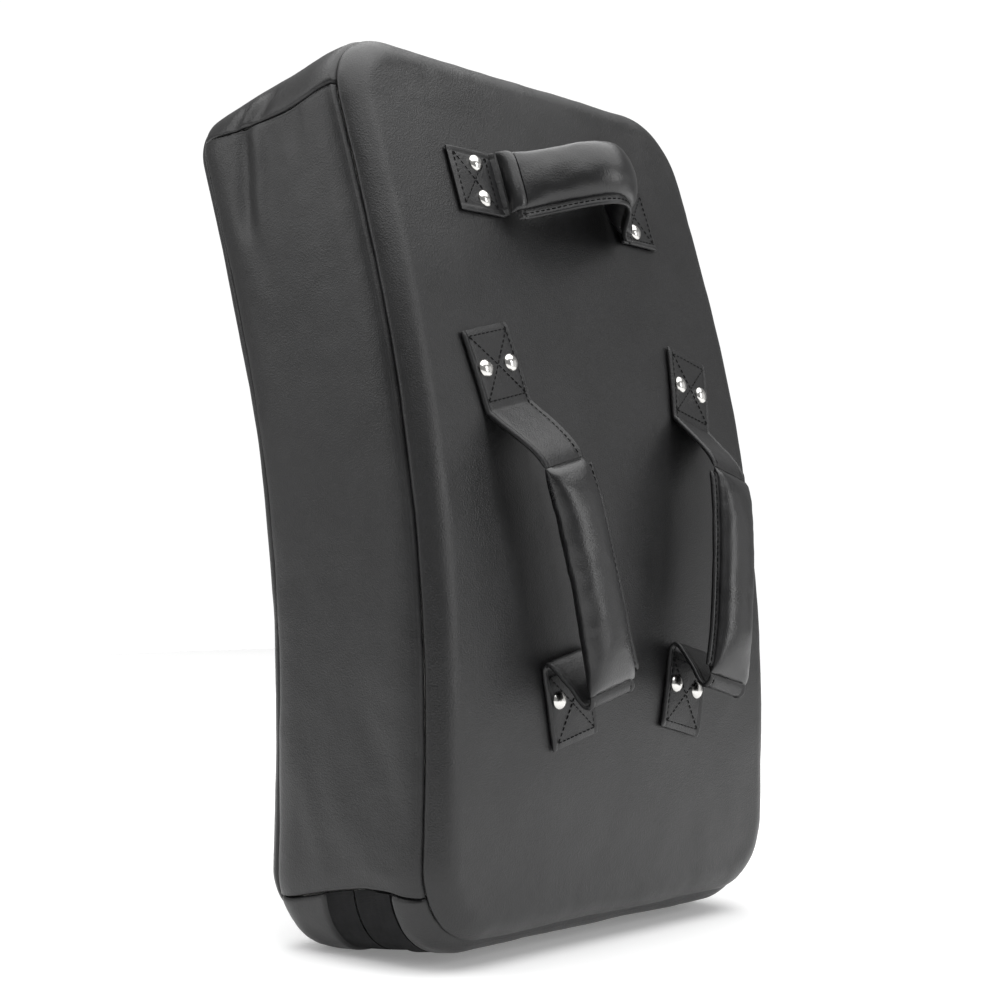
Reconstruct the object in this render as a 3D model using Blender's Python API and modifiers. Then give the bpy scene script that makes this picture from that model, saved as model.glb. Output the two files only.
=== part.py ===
"""A large curved strike shield with three padded grips, built as separate sewn and riveted pieces.

The pad is first laid out flat: x runs across its width, s along its length from the bottom
end, and t through its thickness, from the handle side (minus) to the strike side (plus).
place() then bends that flat layout along its length, so that the strike side is hollow.
It stands on its bottom end, +Z up, with the handles at -Y. Metres throughout.
"""

import math

import bmesh
import bpy
import numpy as np
from mathutils import Matrix, Vector

# Driving dimensions of the pad
LENGTH = 0.62
WIDTH = 0.398
THICKNESS = 0.168
BEND = math.radians(20.0)
BEND_FROM, BEND_TO = 0.029, 0.552
CORNER_BACK, CORNER_FRONT = 0.058, 0.036
EDGE_BACK, EDGE_FRONT = 0.023, 0.022
BACK_BULGE = 0.006
BOTTOM_DOME = 0.017
SIDE_DOME = 0.004
TOP_DOME = 0.001
FLAT_DOME_SHARE = 0.68
BACK_DOME_SHARE = 0.80
DOME_POWER = 2.2
# The bottom end is flat where it stands, and rises from there towards the handle side
RISE_FROM, RISE_LONG, RISE, RISE_POWER = 0.0175, 0.0675, 0.008, 1.3

# Cover leather, seams and clearances
LEATHER = 0.0016
GAP = 0.0004
SEAM_ANGLE = math.radians(72.5)
SEAM_HALF_GAP = math.radians(1.3)
SEAM_T = THICKNESS / 2 - EDGE_BACK * (1 - math.cos(SEAM_ANGLE))

# How finely the outline is divided
CORNER_STEPS = 6
SIDE_STEPS = 12
EDGE_STEPS = 4
RUNGS = 2 * CORNER_STEPS + SIDE_STEPS
END_SEAM_HALF_GAP = 0.035
# The seams between a side and the end gussets, as (t, steps round the corner from the end)
BOTTOM_SEAM = [(-0.068, 4.47), (-0.0523, 4.67), (-0.0425, 4.86), (-0.020, 4.99), (0.0, 4.87), (0.0175, 4.70),
               (0.0462, 4.28), (0.068, 4.00)]
TOP_SEAM = [(-0.068, 5.05), (-0.0425, 5.40), (-0.020, 5.57), (0.0, 5.50), (0.0175, 5.41), (0.0462, 4.98),
            (0.068, 4.50)]

# Foam stack, as depths below the outer surface
FOAM_BACK_DEPTH = 0.0062
FOAM_FRONT_DEPTH = 0.0030
FOAM_SIDE_DEPTH = 0.0030
CORE_DOME_SHARE = 0.25
COMFORT_FOAM = 0.022
IMPACT_FOAM = 0.035
FOAM_EDGE_SHARES = (0.15, 0.50)

# Zip in the bottom end
ZIP_FRONT_EDGE, ZIP_REAR_EDGE = RISE_FROM, -0.0425
ZIP_LINE = -0.009
TAPE_DEPTH = 0.0085
TAPE_EDGE_DEPTH = 0.0024
TAPE_THICK = 0.0008
TAPE_UNDER_LEATHER = 0.006
TAPE_LOW_HALF, TAPE_HIGH_HALF = 0.009, 0.022
TAPE_LOW_TO, TAPE_HIGH_FROM = -0.14, 0.70
ZIP_STEPS = (-0.75, -0.45, -0.14, 0.0)
GUARD_EDGE, GUARD_DEPTH, GUARD_THICK = -0.029, 0.0011, 0.0010
COIL_GAP = 0.0016
COIL_WIDE, COIL_THICK = 0.0026, 0.0017
SLIDER_LONG, SLIDER_WIDE, SLIDER_PLATE = 0.016, 0.012, 0.0012
SLIDER_POST_LONG, SLIDER_POST_WIDE = 0.007, 0.0008
SLIDER_X = 0.118
LUG_LONG, LUG_WIDE = 0.0028, 0.0024
PIN_DEPTH, PIN_RADIUS, PIN_HALF_LENGTH = 0.0026, 0.0006, 0.0039
EYE_RADIUS, EYE_HOLE = 0.0015, 0.0009
PRONG_FROM, PRONG_TO, PRONG_LONG, PRONG_OVERLAP = 0.0015, 0.0036, 0.0030, 0.0006
PULL_LONG, PULL_WIDE, PULL_THICK = 0.028, 0.008, 0.0012
STOP_X, STOP_LONG, STOP_WIDE, STOP_THICK = 0.1290, 0.0030, 0.0070, 0.0010

# Strap handles, as heights above the back panel's surface
STRAP_WIDE = 0.050
STRAP_THICK = 0.0030
STRAP_IN_GRIP = 0.030
STRAP_AT_GRIP_END = 0.033
TAB_LIFT = 0.0006
ROOT_GAP = 0.0010
GRIP_COVER = 0.0014
GRIP_END_THICK = 0.0095
GRIP_THICK = 0.0230
GRIP_WIDE = 0.0420
PIPING_WIDE, PIPING_THICK = 0.0070, 0.0044

SIDE_HANDLE_X, SIDE_HANDLE_S = 0.0697, 0.160
SIDE_SPLAY = math.radians(12.3)
SIDE_TAB = 0.0532
SIDE_UPPER_TAB_FROM = 0.1920
SIDE_LOWER_TAB_TO = 0.0215
SIDE_UPPER_RIVETS = 0.2180
SIDE_LOWER_RIVETS = 0.0000
SIDE_AXIS_HEIGHT = 0.014

TOP_HANDLE_S = 0.509
TOP_TAB_FROM, TOP_TAB_TO = 0.0720, 0.1170
TOP_RIVETS = 0.0903
TOP_ARCH = 0.0560
TOP_ARCH_FOOT = 0.0105
TOP_ARCH_HALF = 0.0705
TOP_CUT = 0.0632
TOP_AXIS_HEIGHT = 0.012

# Rivets
RIVET_SPACING = 0.0275
RIVET_CAP, RIVET_DOME = 0.0066, 0.0032
RIVET_POST, RIVET_HOLE = 0.0020, 0.0025
RIVET_BURR, RIVET_BURR_THICK = 0.0050, 0.0010
HOLE_CUTTER_LONG = 0.020
PATCH_THICK, PATCH_DEPTH, PATCH_WIDE = 0.0010, 0.0026, 0.064
TOP_PATCH_HALF = 0.126
SIDE_PATCH_FROM, SIDE_PATCH_TO = -0.040, 0.254

COLLECTION = "strike_shield"


# ---------------------------------------------------------------- the pad's shape


def lean(s):
    """How far the pad's centre line leans at s, as an angle from upright."""
    u = min(max((s - BEND_FROM) / (BEND_TO - BEND_FROM), 0.0), 1.0)
    return BEND * u * u * (3 - 2 * u)


SPINE_S = np.linspace(-0.06, LENGTH + 0.06, 741)
SPINE_LEAN = np.array([lean(s) for s in SPINE_S])


def running_integral(values):
    """The integral of values along the spine, from s = 0."""
    parts = (values[1:] + values[:-1]) / 2 * np.diff(SPINE_S)
    total = np.concatenate([[0.0], np.cumsum(parts)])
    return total - np.interp(0.0, SPINE_S, total)


SPINE_Y = running_integral(np.sin(SPINE_LEAN))
SPINE_Z = running_integral(np.cos(SPINE_LEAN))


def place(x, s, t):
    """A point of the flat layout, bent into its place. The bottom end's lowest point is at z = 0."""
    angle = lean(s)
    y = np.interp(s, SPINE_S, SPINE_Y) + t * math.cos(angle)
    z = np.interp(s, SPINE_S, SPINE_Z) - t * math.sin(angle)
    return Vector((x, float(y), float(z) + BOTTOM_DOME))


def bulge(x, s):
    """How far the back panel swells out of its plane."""
    across = 1 - (2 * x / (WIDTH - 2 * EDGE_BACK)) ** 2
    along = 1 - ((s - LENGTH / 2) / (LENGTH / 2 - EDGE_BACK)) ** 2
    return BACK_BULGE * max(across, 0.0) * max(along, 0.0)


def on_back(x, s, height):
    """A point at this height above the back panel's outer surface."""
    return place(x, s, -THICKNESS / 2 - bulge(x, s) - height)


def dome_share(away, flat_share):
    """How much of its full swell an end or side wall has this far from the pad's middle plane."""
    past = max(0.0, away / SEAM_T - flat_share) / (1 - flat_share)
    return max(0.0, 1 - past**DOME_POWER)


class Level:
    """One line round the pad: its t, and how far it stands in from the full outline."""

    def __init__(self, t, inset=0.0, depth=0.0):
        self.t = t
        self.inset = inset
        self.depth = depth
        share = min(max(t / THICKNESS + 0.5, 0.0), 1.0)
        self.radius = CORNER_BACK + (CORNER_FRONT - CORNER_BACK) * share - inset
        self.dome = dome_share(abs(t), FLAT_DOME_SHARE)
        risen = RISE * (max(RISE_FROM - t, 0.0) / RISE_LONG) ** RISE_POWER
        flat_share = FLAT_DOME_SHARE if t > 0 else BACK_DOME_SHARE
        self.bottom = (BOTTOM_DOME - risen) * dome_share(abs(t), flat_share)


def back_level(angle, depth=0.0):
    """A level on the rounded back edge: 0 at the back face, a right angle at the side wall."""
    radius = EDGE_BACK - depth
    return Level(
        -THICKNESS / 2 + depth + radius * (1 - math.cos(angle)),
        radius * (1 - math.sin(angle)),
        depth,
    )


def front_level(angle, depth=0.0):
    """A level on the rounded front edge."""
    radius = EDGE_FRONT - depth
    return Level(
        THICKNESS / 2 - depth - radius * (1 - math.cos(angle)),
        radius * (1 - math.sin(angle)),
        depth,
    )


def outline(side, q, level):
    """A point (x, s) of the outline on one side.

    q runs from -1 at the bottom's middle, through 0 to CORNER_STEPS round the bottom corner,
    up the side, round the top corner to RUNGS, and on to RUNGS + 1 at the top's middle.
    """
    half, radius = WIDTH / 2 - level.inset, level.radius
    low, high = level.inset, LENGTH - level.inset
    if q <= 0:
        x, s, nx, ns = (1 + q) * (half - radius), low, 0.0, -1.0
    elif q < CORNER_STEPS:
        turn = q / CORNER_STEPS * math.pi / 2
        nx, ns = math.sin(turn), -math.cos(turn)
        x, s = half - radius + radius * nx, low + radius + radius * ns
    elif q <= CORNER_STEPS + SIDE_STEPS:
        share = (q - CORNER_STEPS) / SIDE_STEPS
        x, s, nx, ns = half, low + radius + share * (high - low - 2 * radius), 1.0, 0.0
    elif q < RUNGS:
        turn = (q - CORNER_STEPS - SIDE_STEPS) / CORNER_STEPS * math.pi / 2
        nx, ns = math.cos(turn), math.sin(turn)
        x, s = half - radius + radius * nx, high - radius + radius * ns
    else:
        x, s, nx, ns = (RUNGS + 1 - q) * (half - radius), high, 0.0, 1.0
    end_dome = level.bottom if ns < 0 else level.dome * TOP_DOME
    out = end_dome * ns**2 + level.dome * SIDE_DOME * nx**2 - level.depth
    return side * (x + out * nx), s + out * ns


def rim(side, q, level, bulging=False):
    x, s = outline(side, q, level)
    return place(x, s, level.t - (bulge(x, s) if bulging else 0.0))


EDGE_QS = [-1 + i / EDGE_STEPS for i in range(EDGE_STEPS)]
HALF_QS = EDGE_QS + list(range(RUNGS + 1)) + [RUNGS - q for q in reversed(EDGE_QS)]


def closed_rim(level, bulging=False, qs=HALF_QS):
    """The whole line round the pad at one level."""
    right = [rim(1, q, level, bulging) for q in qs]
    left = [rim(-1, q, level, bulging) for q in qs[-2:0:-1]]
    return right + left


def face_rows(level, bulging, rungs):
    """Rows of points across the back or strike face, inside the line at this level."""
    rows = []
    for q in rungs:
        x_end, s = outline(1, q, level)
        row = []
        for i in range(-EDGE_STEPS, EDGE_STEPS + 1):
            x = x_end * i / EDGE_STEPS
            row.append(place(x, s, level.t - (bulge(x, s) if bulging else 0.0)))
        rows.append(row)
    return rows


# ---------------------------------------------------------------- building helpers


def clear_scene():
    for obj in list(bpy.data.objects):
        bpy.data.objects.remove(obj, do_unlink=True)
    for name in (COLLECTION, COLLECTION + "_cutters"):
        bpy.context.scene.collection.children.link(bpy.data.collections.new(name))
    bpy.data.collections[COLLECTION + "_cutters"].hide_render = True


def material(name, colour, roughness, metallic=0.0):
    found = bpy.data.materials.get(name)
    if found:
        return found
    made = bpy.data.materials.new(name)
    made.use_nodes = True
    shader = made.node_tree.nodes["Principled BSDF"]
    shader.inputs["Base Color"].default_value = (*colour, 1.0)
    shader.inputs["Roughness"].default_value = roughness
    shader.inputs["Metallic"].default_value = metallic
    made.diffuse_color = (*colour, 1.0)
    return made


def add_quads(bm, rows, closed=False):
    """Faces between neighbouring rows of points."""
    made = [[bm.verts.new(point) for point in row] for row in rows]
    for low, high in zip(made, made[1:]):
        count = len(low)
        for i in range(count if closed else count - 1):
            j = (i + 1) % count
            bm.faces.new((low[i], low[j], high[j], high[i]))


def finish(bm, name, look, centre=None):
    """The mesh object. An open surface is turned to face away from centre."""
    bmesh.ops.remove_doubles(bm, verts=bm.verts, dist=1e-6)
    bmesh.ops.recalc_face_normals(bm, faces=bm.faces)
    if centre is not None:
        outward = sum(f.normal.dot(f.calc_center_median() - centre) for f in bm.faces)
        if outward < 0:
            bmesh.ops.reverse_faces(bm, faces=bm.faces)
    mesh = bpy.data.meshes.new(name)
    bm.to_mesh(mesh)
    bm.free()
    mesh.shade_smooth()
    mesh.set_sharp_from_angle(angle=math.radians(40))
    obj = bpy.data.objects.new(name, mesh)
    mesh.materials.append(look)
    bpy.data.collections[COLLECTION].objects.link(obj)
    return obj


def solidify(obj, thickness, offset=-1.0):
    shell = obj.modifiers.new("thickness", "SOLIDIFY")
    shell.thickness = thickness
    shell.offset = offset
    shell.use_even_offset = True
    return obj


def cut(obj, cutters):
    hole = obj.modifiers.new("rivet_holes", "BOOLEAN")
    hole.operation = "DIFFERENCE"
    hole.solver = "EXACT"
    hole.operand_type = "COLLECTION"
    hole.collection = cutters


def box(name, look, size, middle):
    """A plain box in the straight bottom part of the pad, where the layout isn't bent."""
    bm = bmesh.new()
    bmesh.ops.create_cube(bm, size=1.0, matrix=Matrix.Diagonal((*size, 1.0)))
    obj = finish(bm, name, look)
    obj.location = middle
    return obj


# ---------------------------------------------------------------- materials

LEATHER_BLACK = ("cover_leather", (0.022, 0.022, 0.023), 0.48)
STRAP_BLACK = ("strap_leather", (0.026, 0.026, 0.027), 0.55)
GRIP_BLACK = ("grip_leather", (0.020, 0.020, 0.021), 0.40)
PIPING_BLACK = ("piping_leather", (0.018, 0.018, 0.019), 0.45)
TAPE_BLACK = ("zip_tape", (0.030, 0.030, 0.031), 0.80)
COIL_BLACK = ("zip_coil", (0.015, 0.015, 0.016), 0.35)
ZIP_METAL = ("zip_metal", (0.10, 0.10, 0.105), 0.35, 1.0)
RIVET_METAL = ("rivet_nickel", (0.80, 0.80, 0.79), 0.14, 1.0)
FOAM_SOFT = ("foam_soft", (0.55, 0.55, 0.52), 0.95)
FOAM_FIRM = ("foam_firm", (0.35, 0.36, 0.38), 0.95)
FOAM_HARD = ("foam_hard", (0.16, 0.17, 0.19), 0.95)
PATCH_BLACK = ("backing_patch", (0.05, 0.05, 0.05), 0.85)


# ---------------------------------------------------------------- cover panels

PAD_CENTRE = place(0.0, LENGTH / 2, 0.0)
EDGE_ANGLES = [math.radians(a) for a in (0, 26, 50, 66)] + [SEAM_ANGLE - SEAM_HALF_GAP]
ALL_RUNGS = list(range(RUNGS + 1))
SIDE_RUNGS = range(CORNER_STEPS, CORNER_STEPS + SIDE_STEPS + 1)


def make_panel(name, level_of, bulging):
    """The back or the strike panel, which wraps round its edge as far as the seam."""
    bm = bmesh.new()
    add_quads(bm, face_rows(level_of(0.0), bulging, ALL_RUNGS))
    rings = [closed_rim(level_of(angle), bulging and angle == 0.0) for angle in EDGE_ANGLES]
    add_quads(bm, rings, closed=True)
    return solidify(finish(bm, name, material(*LEATHER_BLACK), PAD_CENTRE), LEATHER)


WALL_TS = (0.0584, 0.0523, 0.0462, ZIP_FRONT_EDGE, 0.0, -0.020, ZIP_REAR_EDGE, -0.0462, -0.0523, -0.0584)


def wall_levels():
    """Levels across the side wall, from the front seam to the back seam."""
    first = SEAM_ANGLE + SEAM_HALF_GAP
    square = math.pi / 2
    walls = [Level(t) for t in WALL_TS]
    return [front_level(first), front_level(square), *walls, back_level(square), back_level(first)]


def seam_step(seam, t):
    """How many steps round the corner a side seam lies at t."""
    return float(np.interp(t, *zip(*seam)))


def make_side_gusset(name, side):
    rows = []
    for level in wall_levels():
        first = seam_step(BOTTOM_SEAM, level.t) + END_SEAM_HALF_GAP
        last = RUNGS - seam_step(TOP_SEAM, level.t) - END_SEAM_HALF_GAP
        low = [first, (first + CORNER_STEPS) / 2]
        high = [(last + RUNGS - CORNER_STEPS) / 2, last]
        rows.append([rim(side, q, level) for q in [*low, *SIDE_RUNGS, *high]])
    bm = bmesh.new()
    add_quads(bm, rows)
    return solidify(finish(bm, name, material(*LEATHER_BLACK), PAD_CENTRE), LEATHER)


def end_row(level, seam, straight=EDGE_QS[1:]):
    """(side, q) stations across an end at one level, from its left side seam to its right one."""
    last = seam_step(seam, level.t) - END_SEAM_HALF_GAP
    corner = [last * share for share in (0.25, 0.50, 0.75, 1.0)]
    half = [*straight, *(q for q in (0.0, *corner) if q > straight[-1])]
    return [(-1, q) for q in reversed(half)] + [(1, -1.0)] + [(1, q) for q in half]


def make_end_gusset(name, levels, top=False):
    rows = []
    for level in levels:
        stations = end_row(level, TOP_SEAM if top else BOTTOM_SEAM)
        rows.append([rim(side, RUNGS - q if top else q, level) for side, q in stations])
    bm = bmesh.new()
    add_quads(bm, rows)
    return solidify(finish(bm, name, material(*LEATHER_BLACK), PAD_CENTRE), LEATHER)


def make_cover():
    make_panel("back_panel", back_level, True)
    make_panel("strike_panel", front_level, False)
    make_side_gusset("left_gusset", -1)
    make_side_gusset("right_gusset", 1)
    levels = wall_levels()
    make_end_gusset("top_gusset", levels, top=True)
    front = [level for level in levels if level.t > ZIP_FRONT_EDGE] + [Level(ZIP_FRONT_EDGE)]
    make_end_gusset("bottom_gusset_front", front)
    rear = [Level(ZIP_REAR_EDGE)] + [level for level in levels if level.t < ZIP_REAR_EDGE]
    make_end_gusset("bottom_gusset_rear", rear)


# ---------------------------------------------------------------- foam stack

FOAM_RUNGS = [0, 2, 4, *SIDE_RUNGS, RUNGS - 4, RUNGS - 2, RUNGS]
FOAM_QS = EDGE_QS + FOAM_RUNGS + [RUNGS - q for q in reversed(EDGE_QS)]


def foam_level(t, edge, edge_radius):
    """A foam block's outline at t, drawn in near a rounded edge whose face lies at t = edge."""
    away = min(abs(t - edge), edge_radius) / edge_radius
    level = Level(t, FOAM_SIDE_DEPTH + edge_radius * (1 - math.sqrt(1 - (1 - away) ** 2)))
    level.dome = level.bottom = 0.0
    return level


def make_foam(name, look, levels, bulging):
    bm = bmesh.new()
    rings = [closed_rim(level, bulging and level is levels[0], FOAM_QS) for level in levels]
    add_quads(bm, rings, closed=True)
    add_quads(bm, face_rows(levels[0], bulging, FOAM_RUNGS))
    add_quads(bm, face_rows(levels[-1], False, FOAM_RUNGS))
    return finish(bm, name, material(*look))


def make_foam_stack():
    back = -THICKNESS / 2 + FOAM_BACK_DEPTH
    front = THICKNESS / 2 - FOAM_FRONT_DEPTH
    comfort_end = back + COMFORT_FOAM
    impact_start = front - IMPACT_FOAM
    back_edge = EDGE_BACK - FOAM_SIDE_DEPTH
    front_edge = EDGE_FRONT - FOAM_SIDE_DEPTH
    comfort_ts = [back, *(back + back_edge * share for share in FOAM_EDGE_SHARES), comfort_end - GAP]
    comfort = [foam_level(t, back, back_edge) for t in comfort_ts]
    impact_ts = [front, *(front - front_edge * share for share in FOAM_EDGE_SHARES), impact_start + GAP]
    impact = [foam_level(t, front, front_edge) for t in reversed(impact_ts)]
    core = [Level(comfort_end, FOAM_SIDE_DEPTH), Level(impact_start, FOAM_SIDE_DEPTH)]
    for level in core:
        level.dome = CORE_DOME_SHARE
        level.bottom = CORE_DOME_SHARE * BOTTOM_DOME
    make_foam("foam_comfort_layer", FOAM_SOFT, comfort, True)
    make_foam("foam_core_layer", FOAM_FIRM, core, False)
    make_foam("foam_impact_layer", FOAM_HARD, impact, False)


# ---------------------------------------------------------------- zip in the bottom end


def smooth_step(value, low, high):
    u = min(max((value - low) / (high - low), 0.0), 1.0)
    return u * u * (3 - 2 * u)


def tape_level(t, q, above_tape):
    """The tapes' surface: sunk along the zip where the slider runs, and close under the leather elsewhere."""
    sunk = 1 - smooth_step(abs(t - ZIP_LINE), TAPE_LOW_HALF, TAPE_HIGH_HALF)
    sunk *= 1 - smooth_step(q, TAPE_LOW_TO, TAPE_HIGH_FROM)
    level = Level(t)
    level.bottom += sunk * (BOTTOM_DOME - TAPE_DEPTH - level.bottom)
    level.depth = (1 - sunk) * TAPE_EDGE_DEPTH - above_tape
    return level


def bottom_strip(name, look, ts, above_tape, thickness, last_q=CORNER_STEPS):
    """A strip across the bottom end as far as last_q, this far outside the tapes' middle plane."""
    rows = []
    for t in ts:
        stations = [(side, q) for side, q in end_row(Level(t), BOTTOM_SEAM, ZIP_STEPS) if q <= last_q]
        rows.append([rim(side, q, tape_level(t, q, above_tape)) for side, q in stations])
    bm = bmesh.new()
    add_quads(bm, rows)
    return solidify(finish(bm, name, material(*look), PAD_CENTRE), thickness, 0.0)


def make_guard():
    """The ribbon sewn along the rear leather edge, which partly covers the zip's rear tape."""
    rows = []
    for t in (GUARD_EDGE, ZIP_REAR_EDGE + GAP):
        level = Level(t, 0.0, GUARD_DEPTH)
        rows.append([rim(side, q, level) for side, q in end_row(level, BOTTOM_SEAM)])
    bm = bmesh.new()
    add_quads(bm, rows)
    return solidify(finish(bm, "zip_guard", material(*TAPE_BLACK), PAD_CENTRE), GUARD_THICK, 0.0)


COIL_RISE = TAPE_THICK / 2 + GAP + COIL_THICK / 2
COIL_OUTSIDE = TAPE_DEPTH - COIL_RISE - COIL_THICK / 2
PLATE_MIDDLE = COIL_OUTSIDE - GAP - SLIDER_PLATE / 2
INNER_PLATE_MIDDLE = TAPE_DEPTH + TAPE_THICK / 2 + GAP + SLIDER_PLATE / 2


def union(obj, helper):
    join = obj.modifiers.new("join_" + helper.name, "BOOLEAN")
    join.operation = "UNION"
    join.solver = "EXACT"
    join.object = helper
    hide_helper(helper)


def hide_helper(helper):
    for collection in helper.users_collection:
        collection.objects.unlink(helper)
    bpy.data.collections[COLLECTION + "_cutters"].objects.link(helper)
    helper.hide_render = True
    helper.display_type = "WIRE"


def rod_along_t(name, look, radius, length, middle):
    bm = bmesh.new()
    turn = Matrix.Rotation(math.pi / 2, 4, "X")
    bmesh.ops.create_cone(
        bm, cap_ends=True, segments=12, radius1=radius, radius2=radius, depth=length, matrix=turn
    )
    obj = finish(bm, name, look)
    obj.location = middle
    return obj


def on_zip(depth):
    """A point of the zip's line under the slider's middle, this far in from the bottom."""
    return Vector((SLIDER_X, ZIP_LINE, depth))


def make_slider():
    metal = material(*ZIP_METAL)
    plate = (SLIDER_LONG, SLIDER_WIDE, SLIDER_PLATE)
    slider = box("zip_slider", metal, plate, on_zip(PLATE_MIDDLE))
    inner = box("slider_inner_plate", metal, plate, on_zip(INNER_PLATE_MIDDLE))
    post_size = (SLIDER_POST_LONG, SLIDER_POST_WIDE, INNER_PLATE_MIDDLE - PLATE_MIDDLE)
    post = box("slider_post", metal, post_size, on_zip((INNER_PLATE_MIDDLE + PLATE_MIDDLE) / 2))
    lug_low = PIN_DEPTH - EYE_RADIUS
    lug_size = (LUG_LONG, LUG_WIDE, PLATE_MIDDLE - lug_low)
    lug = box("slider_lug", metal, lug_size, on_zip((PLATE_MIDDLE + lug_low) / 2))
    pin = rod_along_t("slider_pin", metal, PIN_RADIUS, 2 * PIN_HALF_LENGTH, on_zip(PIN_DEPTH))
    for helper in (inner, post, lug, pin):
        union(slider, helper)
    return slider


def make_pull():
    metal = material(*ZIP_METAL)
    plate_end = PRONG_LONG - PRONG_OVERLAP
    pull = box("zip_pull", metal, (PULL_LONG - plate_end, PULL_WIDE, PULL_THICK), (0.0, 0.0, 0.0))
    pull.data.transform(Matrix.Translation((-(PULL_LONG + plate_end) / 2, 0.0, 0.0)))
    pin = on_zip(PIN_DEPTH)
    pull.location = pin
    wide = PRONG_TO - PRONG_FROM
    for side, word in ((-1, "rear"), (1, "front")):
        eye_middle = pin + Vector((0.0, side * (PRONG_FROM + PRONG_TO) / 2, 0.0))
        prong_middle = eye_middle - Vector((PRONG_LONG / 2, 0.0, 0.0))
        union(pull, box(f"pull_prong_{word}", metal, (PRONG_LONG, wide, PULL_THICK), prong_middle))
        union(pull, rod_along_t(f"pull_eye_{word}", metal, EYE_RADIUS, wide, eye_middle))
    bore = rod_along_t("pull_bore", metal, EYE_HOLE, 4 * PRONG_TO, pin)
    hide_helper(bore)
    hole = pull.modifiers.new("pin_hole", "BOOLEAN")
    hole.operation = "DIFFERENCE"
    hole.solver = "EXACT"
    hole.object = bore
    return pull


def make_zip():
    inner = COIL_GAP / 2
    hidden = {"front": ZIP_FRONT_EDGE + TAPE_UNDER_LEATHER, "rear": ZIP_REAR_EDGE - TAPE_UNDER_LEATHER}
    for side, word in ((1, "front"), (-1, "rear")):
        bends = [ZIP_LINE + side * away for away in (inner, TAPE_LOW_HALF, TAPE_HIGH_HALF)]
        bottom_strip(f"zip_tape_{word}", TAPE_BLACK, [*bends, hidden[word]], 0.0, TAPE_THICK)
        coil = [ZIP_LINE + side * away for away in (inner, inner + COIL_WIDE)]
        bottom_strip(f"zip_coil_{word}", COIL_BLACK, coil, COIL_RISE, COIL_THICK, ZIP_STEPS[-1])
    make_guard()
    for name, x in (("zip_closed_end_stop", STOP_X), ("zip_open_end_stop", -STOP_X)):
        middle = (x, ZIP_LINE, COIL_OUTSIDE - GAP - STOP_THICK / 2)
        box(name, material(*ZIP_METAL), (STOP_LONG, STOP_WIDE, STOP_THICK), middle)
    return make_slider(), make_pull()


# ---------------------------------------------------------------- strap handles

TAB_HEIGHT = TAB_LIFT + STRAP_THICK / 2


class Handle:
    """One strap handle, laid out along its own line: a along the strap, w across it."""

    def __init__(self, name, side, x, s, turn):
        self.name = name
        self.side = side
        self.x, self.s = x, s
        self.along = (math.sin(turn), math.cos(turn))
        self.across = (math.cos(turn), -math.sin(turn))

    def on_panel(self, a, w):
        x = self.x + a * self.along[0] + w * self.across[0]
        return self.side * x, self.s + a * self.along[1] + w * self.across[1]

    def at(self, a, w, height):
        return on_back(*self.on_panel(a, w), height)


TOP_HANDLE = Handle("top_handle", -1, 0.0, TOP_HANDLE_S, -math.pi / 2)
SIDE_HANDLES = [
    Handle("left_handle", -1, SIDE_HANDLE_X, SIDE_HANDLE_S, SIDE_SPLAY),
    Handle("right_handle", 1, SIDE_HANDLE_X, SIDE_HANDLE_S, SIDE_SPLAY),
]

# Strap routes as (a, height, width). Each static end stops ROOT_GAP short of the rocking strap.
SIDE_UPPER_END = [
    (SIDE_UPPER_TAB_FROM + SIDE_TAB, TAB_HEIGHT, STRAP_WIDE),
    (SIDE_UPPER_TAB_FROM + SIDE_TAB / 2, TAB_HEIGHT, STRAP_WIDE),
    (SIDE_UPPER_TAB_FROM, TAB_HEIGHT, STRAP_WIDE),
    (0.1880, 0.0042, 0.0495),
    (0.1835, 0.0080, 0.0490),
    (0.1790, 0.0122, 0.0485),
]
SIDE_LOWER_END = [
    (SIDE_LOWER_TAB_TO - SIDE_TAB, TAB_HEIGHT, STRAP_WIDE),
    (SIDE_LOWER_TAB_TO - SIDE_TAB / 2, TAB_HEIGHT, STRAP_WIDE),
    (SIDE_LOWER_TAB_TO, TAB_HEIGHT, STRAP_WIDE),
    (0.0245, 0.0034, 0.0500),
    (0.0262, 0.0062, 0.0500),
    (0.0252, 0.0092, 0.0495),
    (0.0220, 0.0125, 0.0490),
    (0.0165, 0.0175, 0.0485),
    (0.0105, 0.0230, 0.0480),
]
SIDE_STRAP = [
    (0.1780, 0.0131, 0.0485),
    (0.1700, 0.0205, 0.0470),
    (0.1620, 0.0275, 0.0440),
    (0.1540, 0.0330, 0.0390),
    (0.1464, 0.0362, STRAP_AT_GRIP_END),
    (0.1300, 0.0378, STRAP_IN_GRIP),
    (0.1000, 0.0388, STRAP_IN_GRIP),
    (0.0600, 0.0396, STRAP_IN_GRIP),
    (0.0220, 0.0403, STRAP_IN_GRIP),
    (0.0065, 0.0405, STRAP_AT_GRIP_END),
    (0.0015, 0.0398, 0.0400),
    (-0.0016, 0.0368, 0.0470),
    (-0.0008, 0.0325, 0.0475),
    (0.0035, 0.0283, 0.0480),
    (0.0095, 0.0239, 0.0480),
]
SIDE_GRIP = [(a, height) for a, height, _ in SIDE_STRAP[4:10]]
SIDE_GRIP_ENDS = (0.0430, 0.0510)


def top_arch(a):
    return TOP_ARCH_FOOT + (TOP_ARCH - TOP_ARCH_FOOT) * math.cos(math.pi / 2 * a / TOP_ARCH_HALF) ** 2


def top_end(side):
    middle = (TOP_TAB_FROM + TOP_TAB_TO) / 2
    route = [
        (TOP_TAB_TO, TAB_HEIGHT),
        (middle, TAB_HEIGHT),
        (TOP_TAB_FROM, TAB_HEIGHT),
        (0.0690, 0.0040),
        (0.0662, 0.0075),
        (TOP_CUT + ROOT_GAP / 2, 0.0108),
    ]
    return [(side * a, height, STRAP_WIDE) for a, height in route]


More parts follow.
